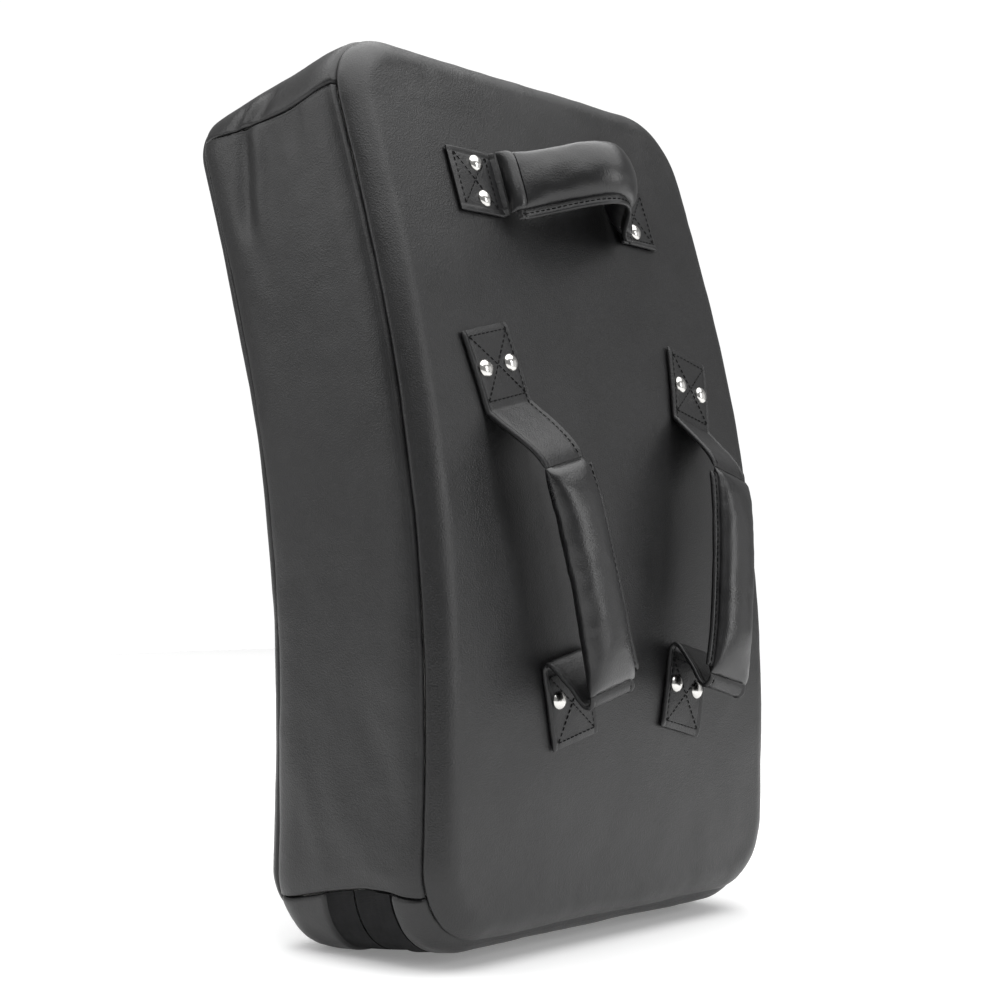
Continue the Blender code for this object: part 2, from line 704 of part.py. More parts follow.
def top_strap():
    last = TOP_CUT - ROOT_GAP / 2
    route = []
    for i in range(13):
        a = last * (1 - i / 6)
        wide = STRAP_IN_GRIP if abs(a) < 0.9 * last else STRAP_AT_GRIP_END
        route.append((a, top_arch(a), wide))
    return route


TOP_GRIP = [(a, top_arch(a)) for a in np.linspace(0.0610, -0.0610, 15)]
TOP_GRIP_ENDS = (0.0500, 0.0500)


def normals_of(path):
    """Unit vectors (a, height) square to the path, on its outer side."""
    found = []
    for i in range(len(path)):
        before, after = path[max(i - 1, 0)], path[min(i + 1, len(path) - 1)]
        da, dh = after[0] - before[0], after[1] - before[1]
        length = math.hypot(da, dh)
        found.append((dh / length, -da / length))
    return found


def make_ribbon(name, look, handle, route, thickness, cut_rows=()):
    """A flat strap along its route, three points wide so that it follows the panel's swell.

    At a cut row its face stands straight up from the panel, so square to the axis it rocks about.
    """
    rings = []
    for i, ((a, height, wide), (na, nh)) in enumerate(zip(route, normals_of(route))):
        if i in cut_rows:
            na, nh = 0.0, 1 / nh
        da, dh = na * thickness / 2, nh * thickness / 2
        outer = [handle.at(a + da, w * wide / 2, height + dh) for w in (-1, 0, 1)]
        inner = [handle.at(a - da, w * wide / 2, height - dh) for w in (1, 0, -1)]
        rings.append(outer + inner)
    bm = bmesh.new()
    add_quads(bm, rings, closed=True)
    for ring in (rings[0], rings[-1]):
        for corners in ((0, 1, 4, 5), (1, 2, 3, 4)):
            bm.faces.new([bm.verts.new(ring[i]) for i in corners])
    return finish(bm, name, material(*look))


def run_along(path):
    """How far along the path each of its points is."""
    return np.concatenate([[0.0], np.cumsum([math.dist(p, q) for p, q in zip(path, path[1:])])])


def grip_sections(path, ends):
    """(a, height, normal, width, thickness) along a grip, flat at its ends and fat between them."""
    steps = run_along(path)
    found = []
    for (a, height), normal, run in zip(path, normals_of(path), steps / steps[-1]):
        edge = abs(2 * run - 1)
        end_wide = ends[0] if run < 0.5 else ends[1]
        wide = GRIP_WIDE + (end_wide - GRIP_WIDE) * edge**3
        thick = GRIP_THICK + (GRIP_END_THICK - GRIP_THICK) * edge**4
        found.append((a, height, normal, wide, thick))
    return found


def resampled(path, count):
    """The same path with evenly spaced points."""
    steps = run_along(path)
    runs = np.linspace(0.0, steps[-1], count)
    return list(zip(*(np.interp(runs, steps, [point[i] for point in path]) for i in (0, 1))))


RING_POINTS = 14


def ring_across(handle, section, shrink=0.0, slot=None):
    """A ring of points round a grip's section, or round the slot that its strap fills."""
    a, height, (na, nh), wide, thick = section
    points = []
    for i in range(RING_POINTS):
        turn = 2 * math.pi * (i + 0.5) / RING_POINTS
        c, d = math.cos(turn), math.sin(turn)
        if slot:
            w = math.copysign(abs(c) ** 0.25, c) * slot[0] / 2
            e = math.copysign(abs(d) ** 0.05, d) * slot[1] / 2
        else:
            square = 0.85 - 0.4 * (GRIP_THICK - thick) / (GRIP_THICK - GRIP_END_THICK)
            w = math.copysign(abs(c) ** square, c) * (wide / 2 - shrink)
            e = math.copysign(abs(d) ** square, d) * (thick / 2 - shrink)
        points.append(handle.at(a + e * na, w, height + e * nh))
    return points


def make_grip(handle, path, ends):
    """The padding round the strap, its leather cover, and the sewn edge along one side."""
    sections = grip_sections(path, ends)
    bm = bmesh.new()
    add_quads(bm, [ring_across(handle, section) for section in sections], closed=True)
    cover = finish(bm, f"{handle.name}_grip_cover", material(*GRIP_BLACK))
    turn_tube_out(cover, handle, sections)
    solidify(cover, GRIP_COVER)
    fat = [section for section in sections if section[4] > 0.6 * GRIP_THICK]
    slot = (STRAP_IN_GRIP + 4 * GAP, STRAP_THICK + 4 * GAP)
    outer = [ring_across(handle, section, GRIP_COVER + 1.5 * GAP) for section in fat]
    inner = [ring_across(handle, section, slot=slot) for section in fat]
    bm = bmesh.new()
    add_quads(bm, outer, closed=True)
    add_quads(bm, inner, closed=True)
    add_quads(bm, [outer[0], inner[0]], closed=True)
    add_quads(bm, [outer[-1], inner[-1]], closed=True)
    padding = finish(bm, f"{handle.name}_grip_padding", material(*FOAM_SOFT))
    edge = []
    for a, height, _, wide, _ in sections[1:-1]:
        near = wide / 2 + GAP
        edge.append([handle.at(a, -w, height) for w in (near, near + PIPING_WIDE)])
    bm = bmesh.new()
    add_quads(bm, edge)
    piping = solidify(finish(bm, f"{handle.name}_grip_edge", material(*PIPING_BLACK)), PIPING_THICK, 0.0)
    return [cover, padding, piping]


def turn_tube_out(tube, handle, sections):
    """Makes an open tube's faces look away from its own centre line."""
    mesh = tube.data
    line = [handle.at(section[0], 0.0, section[1]) for section in sections]
    outward = 0.0
    for face in mesh.polygons:
        nearest = min(line, key=lambda point: (point - face.center).length)
        outward += face.normal.dot(face.center - nearest)
    if outward < 0:
        mesh.flip_normals()


def make_handle(handle, strap, ends, path, grip_ends):
    for word, route in ends:
        make_ribbon(f"{handle.name}_{word}", STRAP_BLACK, handle, route, STRAP_THICK, [len(route) - 1])
    name = f"{handle.name}_strap"
    core = make_ribbon(name, STRAP_BLACK, handle, strap, STRAP_THICK, [0, len(strap) - 1])
    return [core] + make_grip(handle, path, grip_ends)


# ---------------------------------------------------------------- rivets and patches


def back_matrix(x, s, height):
    """A matrix on the back panel whose Z points away from the pad."""
    across = on_back(x + RIVET_CAP, s, 0.0) - on_back(x - RIVET_CAP, s, 0.0)
    along = on_back(x, s + RIVET_CAP, 0.0) - on_back(x, s - RIVET_CAP, 0.0)
    z = across.cross(along).normalized()
    y = z.cross(across.normalized())
    turn = Matrix((across.normalized(), y, z)).transposed().to_4x4()
    return Matrix.Translation(on_back(x, s, height)) @ turn


def rivet_spots():
    """(name, x, s) of each rivet: two to a strap end, side by side across the strap."""
    spots = []
    for word, a in (("right", TOP_RIVETS), ("left", -TOP_RIVETS)):
        for i, w in ((1, RIVET_SPACING / 2), (2, -RIVET_SPACING / 2)):
            spots.append((f"rivet_top_{word}_{i}", *TOP_HANDLE.on_panel(a, w)))
    for handle in SIDE_HANDLES:
        word = handle.name.split("_")[0]
        for end, a in (("upper", SIDE_UPPER_RIVETS), ("lower", SIDE_LOWER_RIVETS)):
            for i, w in ((1, RIVET_SPACING / 2), (2, -RIVET_SPACING / 2)):
                spots.append((f"rivet_{word}_{end}_{i}", *handle.on_panel(a, w)))
    return spots


RIVET_SEAT = TAB_LIFT + STRAP_THICK + GAP
BURR_DEPTH = PATCH_DEPTH + PATCH_THICK + GAP


def make_rivet(name, x, s):
    """A domed cap on the strap end, its post, and the burr that clamps it inside the cover."""
    inside = -(RIVET_SEAT + BURR_DEPTH)
    profile = [
        (0.0, RIVET_DOME),
        (RIVET_CAP * 0.5, RIVET_DOME * 0.86),
        (RIVET_CAP * 0.87, RIVET_DOME * 0.45),
        (RIVET_CAP, 0.0),
        (RIVET_POST, 0.0),
        (RIVET_POST, inside),
        (RIVET_BURR, inside),
        (RIVET_BURR, inside - RIVET_BURR_THICK),
        (0.0, inside - RIVET_BURR_THICK),
    ]
    mesh = bpy.data.meshes.new(name)
    edges = [(i, i + 1) for i in range(len(profile) - 1)]
    mesh.from_pydata([(radius, 0.0, height) for radius, height in profile], edges, [])
    mesh.materials.append(material(*RIVET_METAL))
    rivet = bpy.data.objects.new(name, mesh)
    bpy.data.collections[COLLECTION].objects.link(rivet)
    turned = rivet.modifiers.new("turned", "SCREW")
    turned.steps = turned.render_steps = 12
    turned.use_merge_vertices = True
    turned.merge_threshold = 0.00001
    turned.use_smooth_shade = True
    rivet.matrix_world = back_matrix(x, s, RIVET_SEAT)


def make_hole_cutters():
    cutters = bpy.data.collections.new("rivet_hole_cutters")
    bpy.data.collections[COLLECTION + "_cutters"].children.link(cutters)
    for name, x, s in rivet_spots():
        bm = bmesh.new()
        size = {"radius1": RIVET_HOLE, "radius2": RIVET_HOLE, "depth": HOLE_CUTTER_LONG}
        bmesh.ops.create_cone(bm, cap_ends=True, segments=10, **size)
        cutter = finish(bm, name.replace("rivet", "hole"), material(*RIVET_METAL))
        cutter.matrix_world = back_matrix(x, s, 0.0)
        hide_helper(cutter)
        cutters.objects.link(cutter)
        bpy.data.collections[COLLECTION + "_cutters"].objects.unlink(cutter)
    return cutters


def make_patches():
    """Backing strips inside the cover, which the rivets clamp."""
    depth = -(PATCH_DEPTH + PATCH_THICK / 2)
    top = [(a, depth, PATCH_WIDE) for a in np.linspace(-TOP_PATCH_HALF, TOP_PATCH_HALF, 7)]
    made = [make_ribbon("top_backing_patch", PATCH_BLACK, TOP_HANDLE, top, PATCH_THICK)]
    side = [(a, depth, PATCH_WIDE) for a in np.linspace(SIDE_PATCH_FROM, SIDE_PATCH_TO, 8)]
    for handle in SIDE_HANDLES:
        name = handle.name.replace("handle", "backing_patch")
        made.append(make_ribbon(name, PATCH_BLACK, handle, side, PATCH_THICK))
    return made


# ---------------------------------------------------------------- assembly


def make_pivot(name, pieces, start, end=None):
    """An empty on a joint's axis, its Z along the axis, that carries the moving pieces."""
    pivot = bpy.data.objects.new(name, None)
    pivot.empty_display_size = 0.02
    bpy.data.collections[COLLECTION].objects.link(pivot)
    pivot.location = start
    if end is not None:
        pivot.rotation_mode = "QUATERNION"
        pivot.rotation_quaternion = (end - start).to_track_quat("Z", "Y")
    bpy.context.view_layer.update()
    for piece in pieces:
        piece.parent = pivot
        piece.matrix_parent_inverse = pivot.matrix_world.inverted()
    return pivot


def stand_in_the_middle():
    """Moves everything so that the origin is under the middle of the bounding box."""
    bpy.context.view_layer.update()
    graph = bpy.context.evaluated_depsgraph_get()
    parts = bpy.data.collections[COLLECTION].all_objects
    corners = []
    for obj in parts:
        if obj.type == "MESH":
            solid = obj.evaluated_get(graph)
            corners += [solid.matrix_world @ Vector(corner) for corner in solid.bound_box]
    low = [min(corner[i] for corner in corners) for i in range(3)]
    high = [max(corner[i] for corner in corners) for i in range(3)]
    frame = bpy.data.objects.new("pad_frame", None)
    bpy.data.collections[COLLECTION].objects.link(frame)
    for obj in list(parts) + list(bpy.data.collections["rivet_hole_cutters"].objects):
        if obj.parent is None and obj is not frame:
            obj.parent = frame
    for obj in bpy.data.collections[COLLECTION + "_cutters"].objects:
        if obj.parent is None:
            obj.parent = frame
    frame.location = (-(low[0] + high[0]) / 2, -(low[1] + high[1]) / 2, -low[2])


def main():
    clear_scene()
    make_cover()
    make_foam_stack()
    slider, pull = make_zip()
    top_ends = [("right_end", top_end(1)), ("left_end", top_end(-1))]
    top = make_handle(TOP_HANDLE, top_strap(), top_ends, TOP_GRIP, TOP_GRIP_ENDS)
    side_ends = [("upper_end", SIDE_UPPER_END), ("lower_end", SIDE_LOWER_END)]
    grip = resampled(SIDE_GRIP, 13)
    sides = [make_handle(h, SIDE_STRAP, side_ends, grip, SIDE_GRIP_ENDS) for h in SIDE_HANDLES]
    patches = make_patches()
    cutters = make_hole_cutters()
    for spot in rivet_spots():
        make_rivet(*spot)
    ends = [obj for obj in bpy.data.collections[COLLECTION].objects if obj.name.endswith("_end")]
    for obj in ends + patches + [bpy.data.objects["back_panel"]]:
        cut(obj, cutters)
    top_axis = [TOP_HANDLE.at(a, 0.0, TOP_AXIS_HEIGHT) for a in (TOP_CUT, -TOP_CUT)]
    make_pivot("top_handle_pivot", top, *top_axis)
    side_cuts = (SIDE_LOWER_END[-1][0], SIDE_UPPER_END[-1][0])
    for handle, pieces in zip(SIDE_HANDLES, sides):
        axis = [handle.at(a, 0.0, SIDE_AXIS_HEIGHT) for a in side_cuts]
        make_pivot(f"{handle.name}_pivot", pieces, *axis)
    pull_pivot = make_pivot("zip_pull_pivot", [pull], on_zip(PIN_DEPTH))
    make_pivot("zip_slide", [slider, pull_pivot], on_zip(PLATE_MIDDLE))
    stand_in_the_middle()


main()
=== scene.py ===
"""A curved strike shield for pad work: a leather-covered foam block with three padded strap handles.

Lengths are in metres. A point of the pad is laid out as (x, s, t): x across it, s up along its curve,
and t through it from the handle side (-) to the strike side (+). place() bends that layout.
"""

import math

import bmesh
import bpy
import numpy as np
from mathutils import Matrix, Vector, noise


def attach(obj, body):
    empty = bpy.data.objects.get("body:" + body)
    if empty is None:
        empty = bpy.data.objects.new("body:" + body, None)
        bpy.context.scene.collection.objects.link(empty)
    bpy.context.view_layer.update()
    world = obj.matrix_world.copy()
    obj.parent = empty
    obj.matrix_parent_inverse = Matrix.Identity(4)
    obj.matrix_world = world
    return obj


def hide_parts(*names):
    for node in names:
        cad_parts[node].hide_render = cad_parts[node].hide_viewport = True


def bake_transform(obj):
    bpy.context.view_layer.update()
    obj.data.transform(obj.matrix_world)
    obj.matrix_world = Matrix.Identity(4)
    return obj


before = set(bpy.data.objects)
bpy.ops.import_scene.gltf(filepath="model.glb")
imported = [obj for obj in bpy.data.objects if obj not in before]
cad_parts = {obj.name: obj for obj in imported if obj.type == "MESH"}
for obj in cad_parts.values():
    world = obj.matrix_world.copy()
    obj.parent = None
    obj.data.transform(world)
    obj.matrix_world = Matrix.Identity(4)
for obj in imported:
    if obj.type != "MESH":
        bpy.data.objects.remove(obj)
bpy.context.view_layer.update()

# ---------------------------------------------------------------- driving dimensions

# The pad's block, as in the CAD model
LENGTH, WIDTH, THICKNESS = 0.620, 0.398, 0.168
BEND = math.radians(20.0)
BEND_FROM, BEND_TO = 0.029, 0.552
CORNER_BACK, CORNER_FRONT = 0.058, 0.036
EDGE_BACK, EDGE_FRONT = 0.023, 0.022
BACK_BULGE = 0.006
BOTTOM_DOME, SIDE_DOME, TOP_DOME = 0.017, 0.004, 0.001
FLAT_DOME_SHARE, BACK_DOME_SHARE, DOME_POWER = 0.68, 0.80, 2.2
RISE_FROM, RISE_LONG, RISE, RISE_POWER = 0.0175, 0.0675, 0.008, 1.3
PAD_SHIFT_Y = -0.026279
SEAM_ANGLE = math.radians(72.5)
SEAM_T = THICKNESS / 2 - EDGE_BACK * (1 - math.cos(SEAM_ANGLE))
CORNER_STEPS, SIDE_STEPS = 6, 12
RUNGS = 2 * CORNER_STEPS + SIDE_STEPS

# Seams between a side and the end gussets, as (t, steps round the corner from the end)
BOTTOM_SEAM = [(-0.068, 4.47), (-0.0523, 4.67), (-0.0425, 4.86), (-0.020, 4.99), (0.0, 4.87),
               (0.0175, 4.70), (0.0462, 4.28), (0.068, 4.00)]
TOP_SEAM = [(-0.068, 5.05), (-0.0425, 5.40), (-0.020, 5.57), (0.0, 5.50), (0.0175, 5.41), (0.0462, 4.98),
            (0.068, 4.50)]

# Leather: its thickness, and how it dips into a seam and swells beside it
LEATHER = 0.0014
SEAM_GAP = 0.0004
DIP, DIP_WIDE = 0.0026, 0.0010
WELT, WELT_AT, WELT_WIDE = 0.0005, 0.0020, 0.0008
NEAR_SEAM = (0.0, 0.0004, 0.0009, 0.0015, 0.0022, 0.0030, 0.0039, 0.0050, 0.0065)

# Zip in the bottom end
ZIP_FRONT_EDGE, ZIP_REAR_EDGE, ZIP_LINE = 0.0175, -0.0425, -0.009
TAPE_DEPTH, TAPE_EDGE_DEPTH, TAPE_THICK = 0.0085, 0.0024, 0.0007
TAPE_LOW_HALF, TAPE_HIGH_HALF = 0.009, 0.022
TAPE_LOW_TO, TAPE_HIGH_FROM = -0.14, 0.70
GUARD_EDGE, GUARD_DEPTH, GUARD_THICK = -0.029, 0.0011, 0.0009
COIL_GAP, COIL_WIDE, COIL_THICK, COIL_PITCH, COIL_HALF = 0.0016, 0.0026, 0.0017, 0.0016, 0.139

# Strap handles: a along the strap, w across it, heights above the back panel
STRAP_WIDE, STRAP_THICK, TAB_LIFT = 0.050, 0.0030, 0.0006
GRIP_WIDE, GRIP_THICK, GRIP_END_THICK = 0.0420, 0.0230, 0.0052
CORE_WIDE, CORE_THICK = 0.0280, 0.0026
SIDE_HANDLE_X, SIDE_HANDLE_S, SIDE_SPLAY = 0.0697, 0.160, math.radians(12.3)
TOP_HANDLE_S = 0.509
FLANGE_WIDE, FLANGE_THICK, FLANGE_UNDER = 0.0068, 0.0030, 0.0016
FLANGE_SEAM, FLANGE_SEAM_RISE = 0.0030, 0.78
AIM = 0.0020  # how far ahead a stitch looks for its direction
STITCH_LONG, STITCH_PITCH, THREAD = 0.0030, 0.0042, 0.00042
RIVET_SPACING, RIVET_CAP, RIVET_DOME = 0.0275, 0.0066, 0.0032
SIDE_UPPER_RIVETS, SIDE_LOWER_RIVETS, TOP_RIVETS = 0.2180, 0.0, 0.0903

# Shapes of a strap's edge, folded end and stitch groove
EDGE_ROUND = 0.0014
END_TAPER = (0.35, 0.8)
BEAD, BEAD_AT, BEAD_WIDE = 0.0006, 0.0019, 0.0011
GROOVE, GROOVE_AT, GROOVE_WIDE = 0.0005, 0.0046, 0.0009
TAB_INSET = 0.0046

# How finely the surfaces are divided
ACROSS, QS_PER_STEP = 26, 4
STRAP_STEP, CORE_STEP = 0.0022, 0.0050
GRIP_RING, RIVET_RING, THREAD_RING = 44, 40, 6

# Waves that a piece's surface carries, as (height, wavelength)
COVER_WAVES = [(0.0009, 0.075), (0.0005, 0.030), (0.00022, 0.012)]
STRAP_WAVES = [(0.00035, 0.016), (0.00015, 0.006)]
GRIP_WAVES = [(0.0007, 0.034), (0.0004, 0.012), (0.00018, 0.005)]
FLANGE_WAVES = [(0.0004, 0.014)]
TAPE_WAVES = [(0.00012, 0.014)]
TAB_FLAT, TAB_FREE = 0.036, 0.060

# Light: softboxes as (place, size, brightness), the fill and the white backdrop
SOFTBOXES = {
    "main": ((0.70, -2.60, 1.10), (0.80, 1.60), 4.6),
    "right": ((2.10, -1.85, 0.70), (1.60, 2.20), 0.60),
    "left": ((-2.10, 1.70, 1.60), (1.60, 1.60), 2.4),
    "overhead": ((0.0, -0.1, 3.20), (5.00, 5.00), 2.6),
}
FILL_LIGHT, BACKDROP_LIGHT = 0.30, 1.05
FLOOR_HALF, FLOOR_DROP, FLOOR_GLOW = 2.6, 0.0006, 0.22

# Camera, in the shared frame
CAMERA_AT = (-1.1492, -0.9644, 0.2919)
CAMERA_HEADING, CAMERA_PITCH, CAMERA_ROLL = 0.8651, 0.0182, 0.0263
CAMERA_LENS = 70.66


# ---------------------------------------------------------------- materials


def new_material(name):
    made = bpy.data.materials.new(name)
    made.use_nodes = True
    nodes, links = made.node_tree.nodes, made.node_tree.links
    shader = nodes["Principled BSDF"]
    coords = nodes.new("ShaderNodeTexCoord").outputs["Object"]
    return made, nodes, links, shader, coords


def noise_node(nodes, links, coords, scale, detail=4.0, rough=0.6):
    made = nodes.new("ShaderNodeTexNoise")
    made.inputs["Scale"].default_value = scale
    made.inputs["Detail"].default_value = detail
    made.inputs["Roughness"].default_value = rough
    links.new(coords, made.inputs["Vector"])
    return made.outputs["Fac"]


def cell_node(nodes, links, coords, scale):
    made = nodes.new("ShaderNodeTexVoronoi")
    made.feature = "F1"
    made.inputs["Scale"].default_value = scale
    links.new(coords, made.inputs["Vector"])
    return made.outputs["Distance"]


def spread(nodes, links, value, low, high, to_low, to_high):
    """The value's range from low to high, mapped to another range."""
    made = nodes.new("ShaderNodeMapRange")
    made.inputs["From Min"].default_value = low
    made.inputs["From Max"].default_value = high
    made.inputs["To Min"].default_value = to_low
    made.inputs["To Max"].default_value = to_high
    links.new(value, made.inputs["Value"])
    return made.outputs["Result"]


def two_tone(nodes, links, share, first, second):
    made = nodes.new("ShaderNodeMix")
    made.data_type = "RGBA"
    made.inputs["A"].default_value = (*first, 1.0)
    made.inputs["B"].default_value = (*second, 1.0)
    links.new(share, made.inputs["Factor"])
    return made.outputs["Result"]


def calculate(nodes, links, kind, first, second):
    made = nodes.new("ShaderNodeMath")
    made.operation = kind
    for socket, value in zip(made.inputs, (first, second)):
        if isinstance(value, float):
            socket.default_value = value
        else:
            links.new(value, socket)
    return made.outputs["Value"]


def add_bump(nodes, links, shader, height, distance, strength=1.0, under=None):
    made = nodes.new("ShaderNodeBump")
    made.inputs["Distance"].default_value = distance
    made.inputs["Strength"].default_value = strength
    links.new(height, made.inputs["Height"])
    if under is not None:
        links.new(under, made.inputs["Normal"])
    links.new(made.outputs["Normal"], shader.inputs["Normal"])
    return made.outputs["Normal"]


def leather(name, colour, gloss_from, gloss_to, grain, specular=0.5, coat=0.0):
    """Coated leather: pebbled grain, faint creases, and wear that changes its colour and gloss."""
    made, nodes, links, shader, coords = new_material(name)
    worn = noise_node(nodes, links, coords, 14.0, 5.0)
    mottled = noise_node(nodes, links, coords, 160.0, 3.0)
    share = calculate(nodes, links, "MULTIPLY", worn, mottled)
    dark = tuple(c * 0.72 for c in colour)
    light = tuple(c * 1.55 for c in colour)
    links.new(two_tone(nodes, links, spread(nodes, links, share, 0.12, 0.42, 0.0, 1.0), dark, light),
              shader.inputs["Base Color"])
    links.new(spread(nodes, links, worn, 0.3, 0.7, gloss_from, gloss_to), shader.inputs["Roughness"])
    shader.inputs["Specular IOR Level"].default_value = specular
    shader.inputs["Coat Weight"].default_value = coat
    shader.inputs["Coat Roughness"].default_value = 0.35
    cells = cell_node(nodes, links, coords, 820.0)
    fine = noise_node(nodes, links, coords, 1900.0, 3.0)
    pebbles = calculate(nodes, links, "ADD", cells, calculate(nodes, links, "MULTIPLY", fine, 0.7))
    creases = noise_node(nodes, links, coords, 120.0, 6.0, 0.7)
    soft = add_bump(nodes, links, shader, creases, grain * 2.2, 0.6)
    add_bump(nodes, links, shader, pebbles, grain, 0.8, soft)
    return made


def woven(name, colour, pitch, depth):
    """Plain-weave tape: threads crossing at this pitch along x and y."""
    made, nodes, links, shader, coords = new_material(name)
    split = nodes.new("ShaderNodeSeparateXYZ")
    links.new(coords, split.inputs["Vector"])
    waves = []
    for axis in ("X", "Y"):
        turned = calculate(nodes, links, "MULTIPLY", split.outputs[axis], 2 * math.pi / pitch)
        waves.append(calculate(nodes, links, "SINE", turned, 0.0))
    crossing = calculate(nodes, links, "MULTIPLY", waves[0], waves[1])
    fuzz = noise_node(nodes, links, coords, 2600.0, 2.0)
    height = calculate(nodes, links, "ADD", crossing, fuzz)
    dark = tuple(c * 0.55 for c in colour)
    light = tuple(c * 1.7 for c in colour)
    links.new(two_tone(nodes, links, spread(nodes, links, height, -0.4, 1.6, 0.0, 1.0), dark, light),
              shader.inputs["Base Color"])
    shader.inputs["Specular IOR Level"].default_value = 0.2
    faded = noise_node(nodes, links, coords, 60.0)
    links.new(spread(nodes, links, faded, 0.3, 0.7, 0.72, 0.9), shader.inputs["Roughness"])
    add_bump(nodes, links, shader, height, depth)
    return made


def hard(name, colour, gloss_from, gloss_to, metallic=1.0):
    """Plated or lacquered metal, or moulded plastic, with fine scratches and patches of handling."""
    made, nodes, links, shader, coords = new_material(name)
    shader.inputs["Metallic"].default_value = metallic
    patches = noise_node(nodes, links, coords, 260.0, 4.0)
    scratches = noise_node(nodes, links, coords, 3200.0, 2.0)
    dark = tuple(c * 0.85 for c in colour)
    links.new(two_tone(nodes, links, patches, dark, colour), shader.inputs["Base Color"])
    links.new(spread(nodes, links, patches, 0.3, 0.7, gloss_from, gloss_to), shader.inputs["Roughness"])
    add_bump(nodes, links, shader, scratches, 0.00002, 0.4)
    return made


def porous(name, colour, cell_scale, depth):
    """Cut foam or felt: open cells with a dull, uneven colour."""
    made, nodes, links, shader, coords = new_material(name)
    cells = cell_node(nodes, links, coords, cell_scale)
    tone = noise_node(nodes, links, coords, 30.0)
    dark = tuple(c * 0.8 for c in colour)
    links.new(two_tone(nodes, links, tone, dark, colour), shader.inputs["Base Color"])
    links.new(spread(nodes, links, tone, 0.3, 0.7, 0.88, 0.98), shader.inputs["Roughness"])
    add_bump(nodes, links, shader, cells, depth)
    return made


COVER = leather("cover_leather", (0.0050, 0.0050, 0.0053), 0.34, 0.44, 0.00016, 0.50)
STRAP = leather("strap_leather", (0.0046, 0.0046, 0.0050), 0.34, 0.46, 0.00018, 0.48)
GRIP = leather("grip_leather", (0.0042, 0.0042, 0.0046), 0.26, 0.35, 0.00011, 0.55, 0.05)
PIPING = leather("piping_leather", (0.0044, 0.0044, 0.0048), 0.30, 0.42, 0.00012, 0.50)
THREAD_BLACK = woven("thread", (0.0030, 0.0030, 0.0032), 0.0006, 0.00008)
TAPE = woven("zip_tape", (0.0075, 0.0075, 0.0080), 0.0011, 0.00018)
COIL = hard("zip_coil", (0.03, 0.03, 0.032), 0.35, 0.5, metallic=0.0)
ZIP_METAL = hard("zip_metal", (0.16, 0.16, 0.17), 0.3, 0.42)
NICKEL = hard("rivet_nickel", (0.66, 0.65, 0.63), 0.13, 0.24)
FOAM = porous("foam", (0.42, 0.42, 0.40), 900.0, 0.0003)
BACKING = porous("backing_fabric", (0.05, 0.05, 0.05), 1400.0, 0.0002)


# ---------------------------------------------------------------- the pad's layout


def smooth_step(value, low, high):
    u = min(max((value - low) / (high - low), 0.0), 1.0)
    return u * u * (3 - 2 * u)


SPINE_S = np.linspace(-0.06, LENGTH + 0.06, 741)
SPINE_U = np.clip((SPINE_S - BEND_FROM) / (BEND_TO - BEND_FROM), 0.0, 1.0)
SPINE_LEAN = BEND * SPINE_U**2 * (3 - 2 * SPINE_U)


def running_integral(values):
    parts = (values[1:] + values[:-1]) / 2 * np.diff(SPINE_S)
    total = np.concatenate([[0.0], np.cumsum(parts)])
    return total - np.interp(0.0, SPINE_S, total)


SPINE_Y = running_integral(np.sin(SPINE_LEAN))
SPINE_Z = running_integral(np.cos(SPINE_LEAN))


def place(x, s, t):
    """A point of the flat layout, bent into its place in the shared frame."""
    angle = float(np.interp(s, SPINE_S, SPINE_LEAN))
    y = float(np.interp(s, SPINE_S, SPINE_Y)) + t * math.cos(angle)
    z = float(np.interp(s, SPINE_S, SPINE_Z)) - t * math.sin(angle)
    return Vector((x, y + PAD_SHIFT_Y, z + BOTTOM_DOME))


def bulge(x, s):
    """How far the back panel swells out of its plane."""
    across = 1 - (2 * x / (WIDTH - 2 * EDGE_BACK)) ** 2
    along = 1 - ((s - LENGTH / 2) / (LENGTH / 2 - EDGE_BACK)) ** 2
    return BACK_BULGE * max(across, 0.0) * max(along, 0.0)


def on_back(x, s, height):
    return place(x, s, -THICKNESS / 2 - bulge(x, s) - height)


def dome_share(away, flat_share):
    past = max(0.0, away / SEAM_T - flat_share) / (1 - flat_share)
    return max(0.0, 1 - past**DOME_POWER)


class Level:
    """One line round the pad: its t, how far it stands in from the full outline, and its depth."""

    def __init__(self, t, inset=0.0, depth=0.0):
        self.t, self.inset, self.depth = t, inset, depth
        share = min(max(t / THICKNESS + 0.5, 0.0), 1.0)
        self.radius = CORNER_BACK + (CORNER_FRONT - CORNER_BACK) * share - inset
        self.dome = dome_share(abs(t), FLAT_DOME_SHARE)
        risen = RISE * (max(RISE_FROM - t, 0.0) / RISE_LONG) ** RISE_POWER
        kept = FLAT_DOME_SHARE if t > 0 else BACK_DOME_SHARE
        self.bottom = (BOTTOM_DOME - risen) * dome_share(abs(t), kept)


def edge_level(side, angle, depth=0.0):
    """A level on a rounded edge (side 1 strike, -1 handle): 0 at the face, a right angle at the wall."""
    full = EDGE_FRONT if side > 0 else EDGE_BACK
    radius = full - depth
    return Level(side * (THICKNESS / 2 - depth - radius * (1 - math.cos(angle))),
                 radius * (1 - math.sin(angle)), depth)


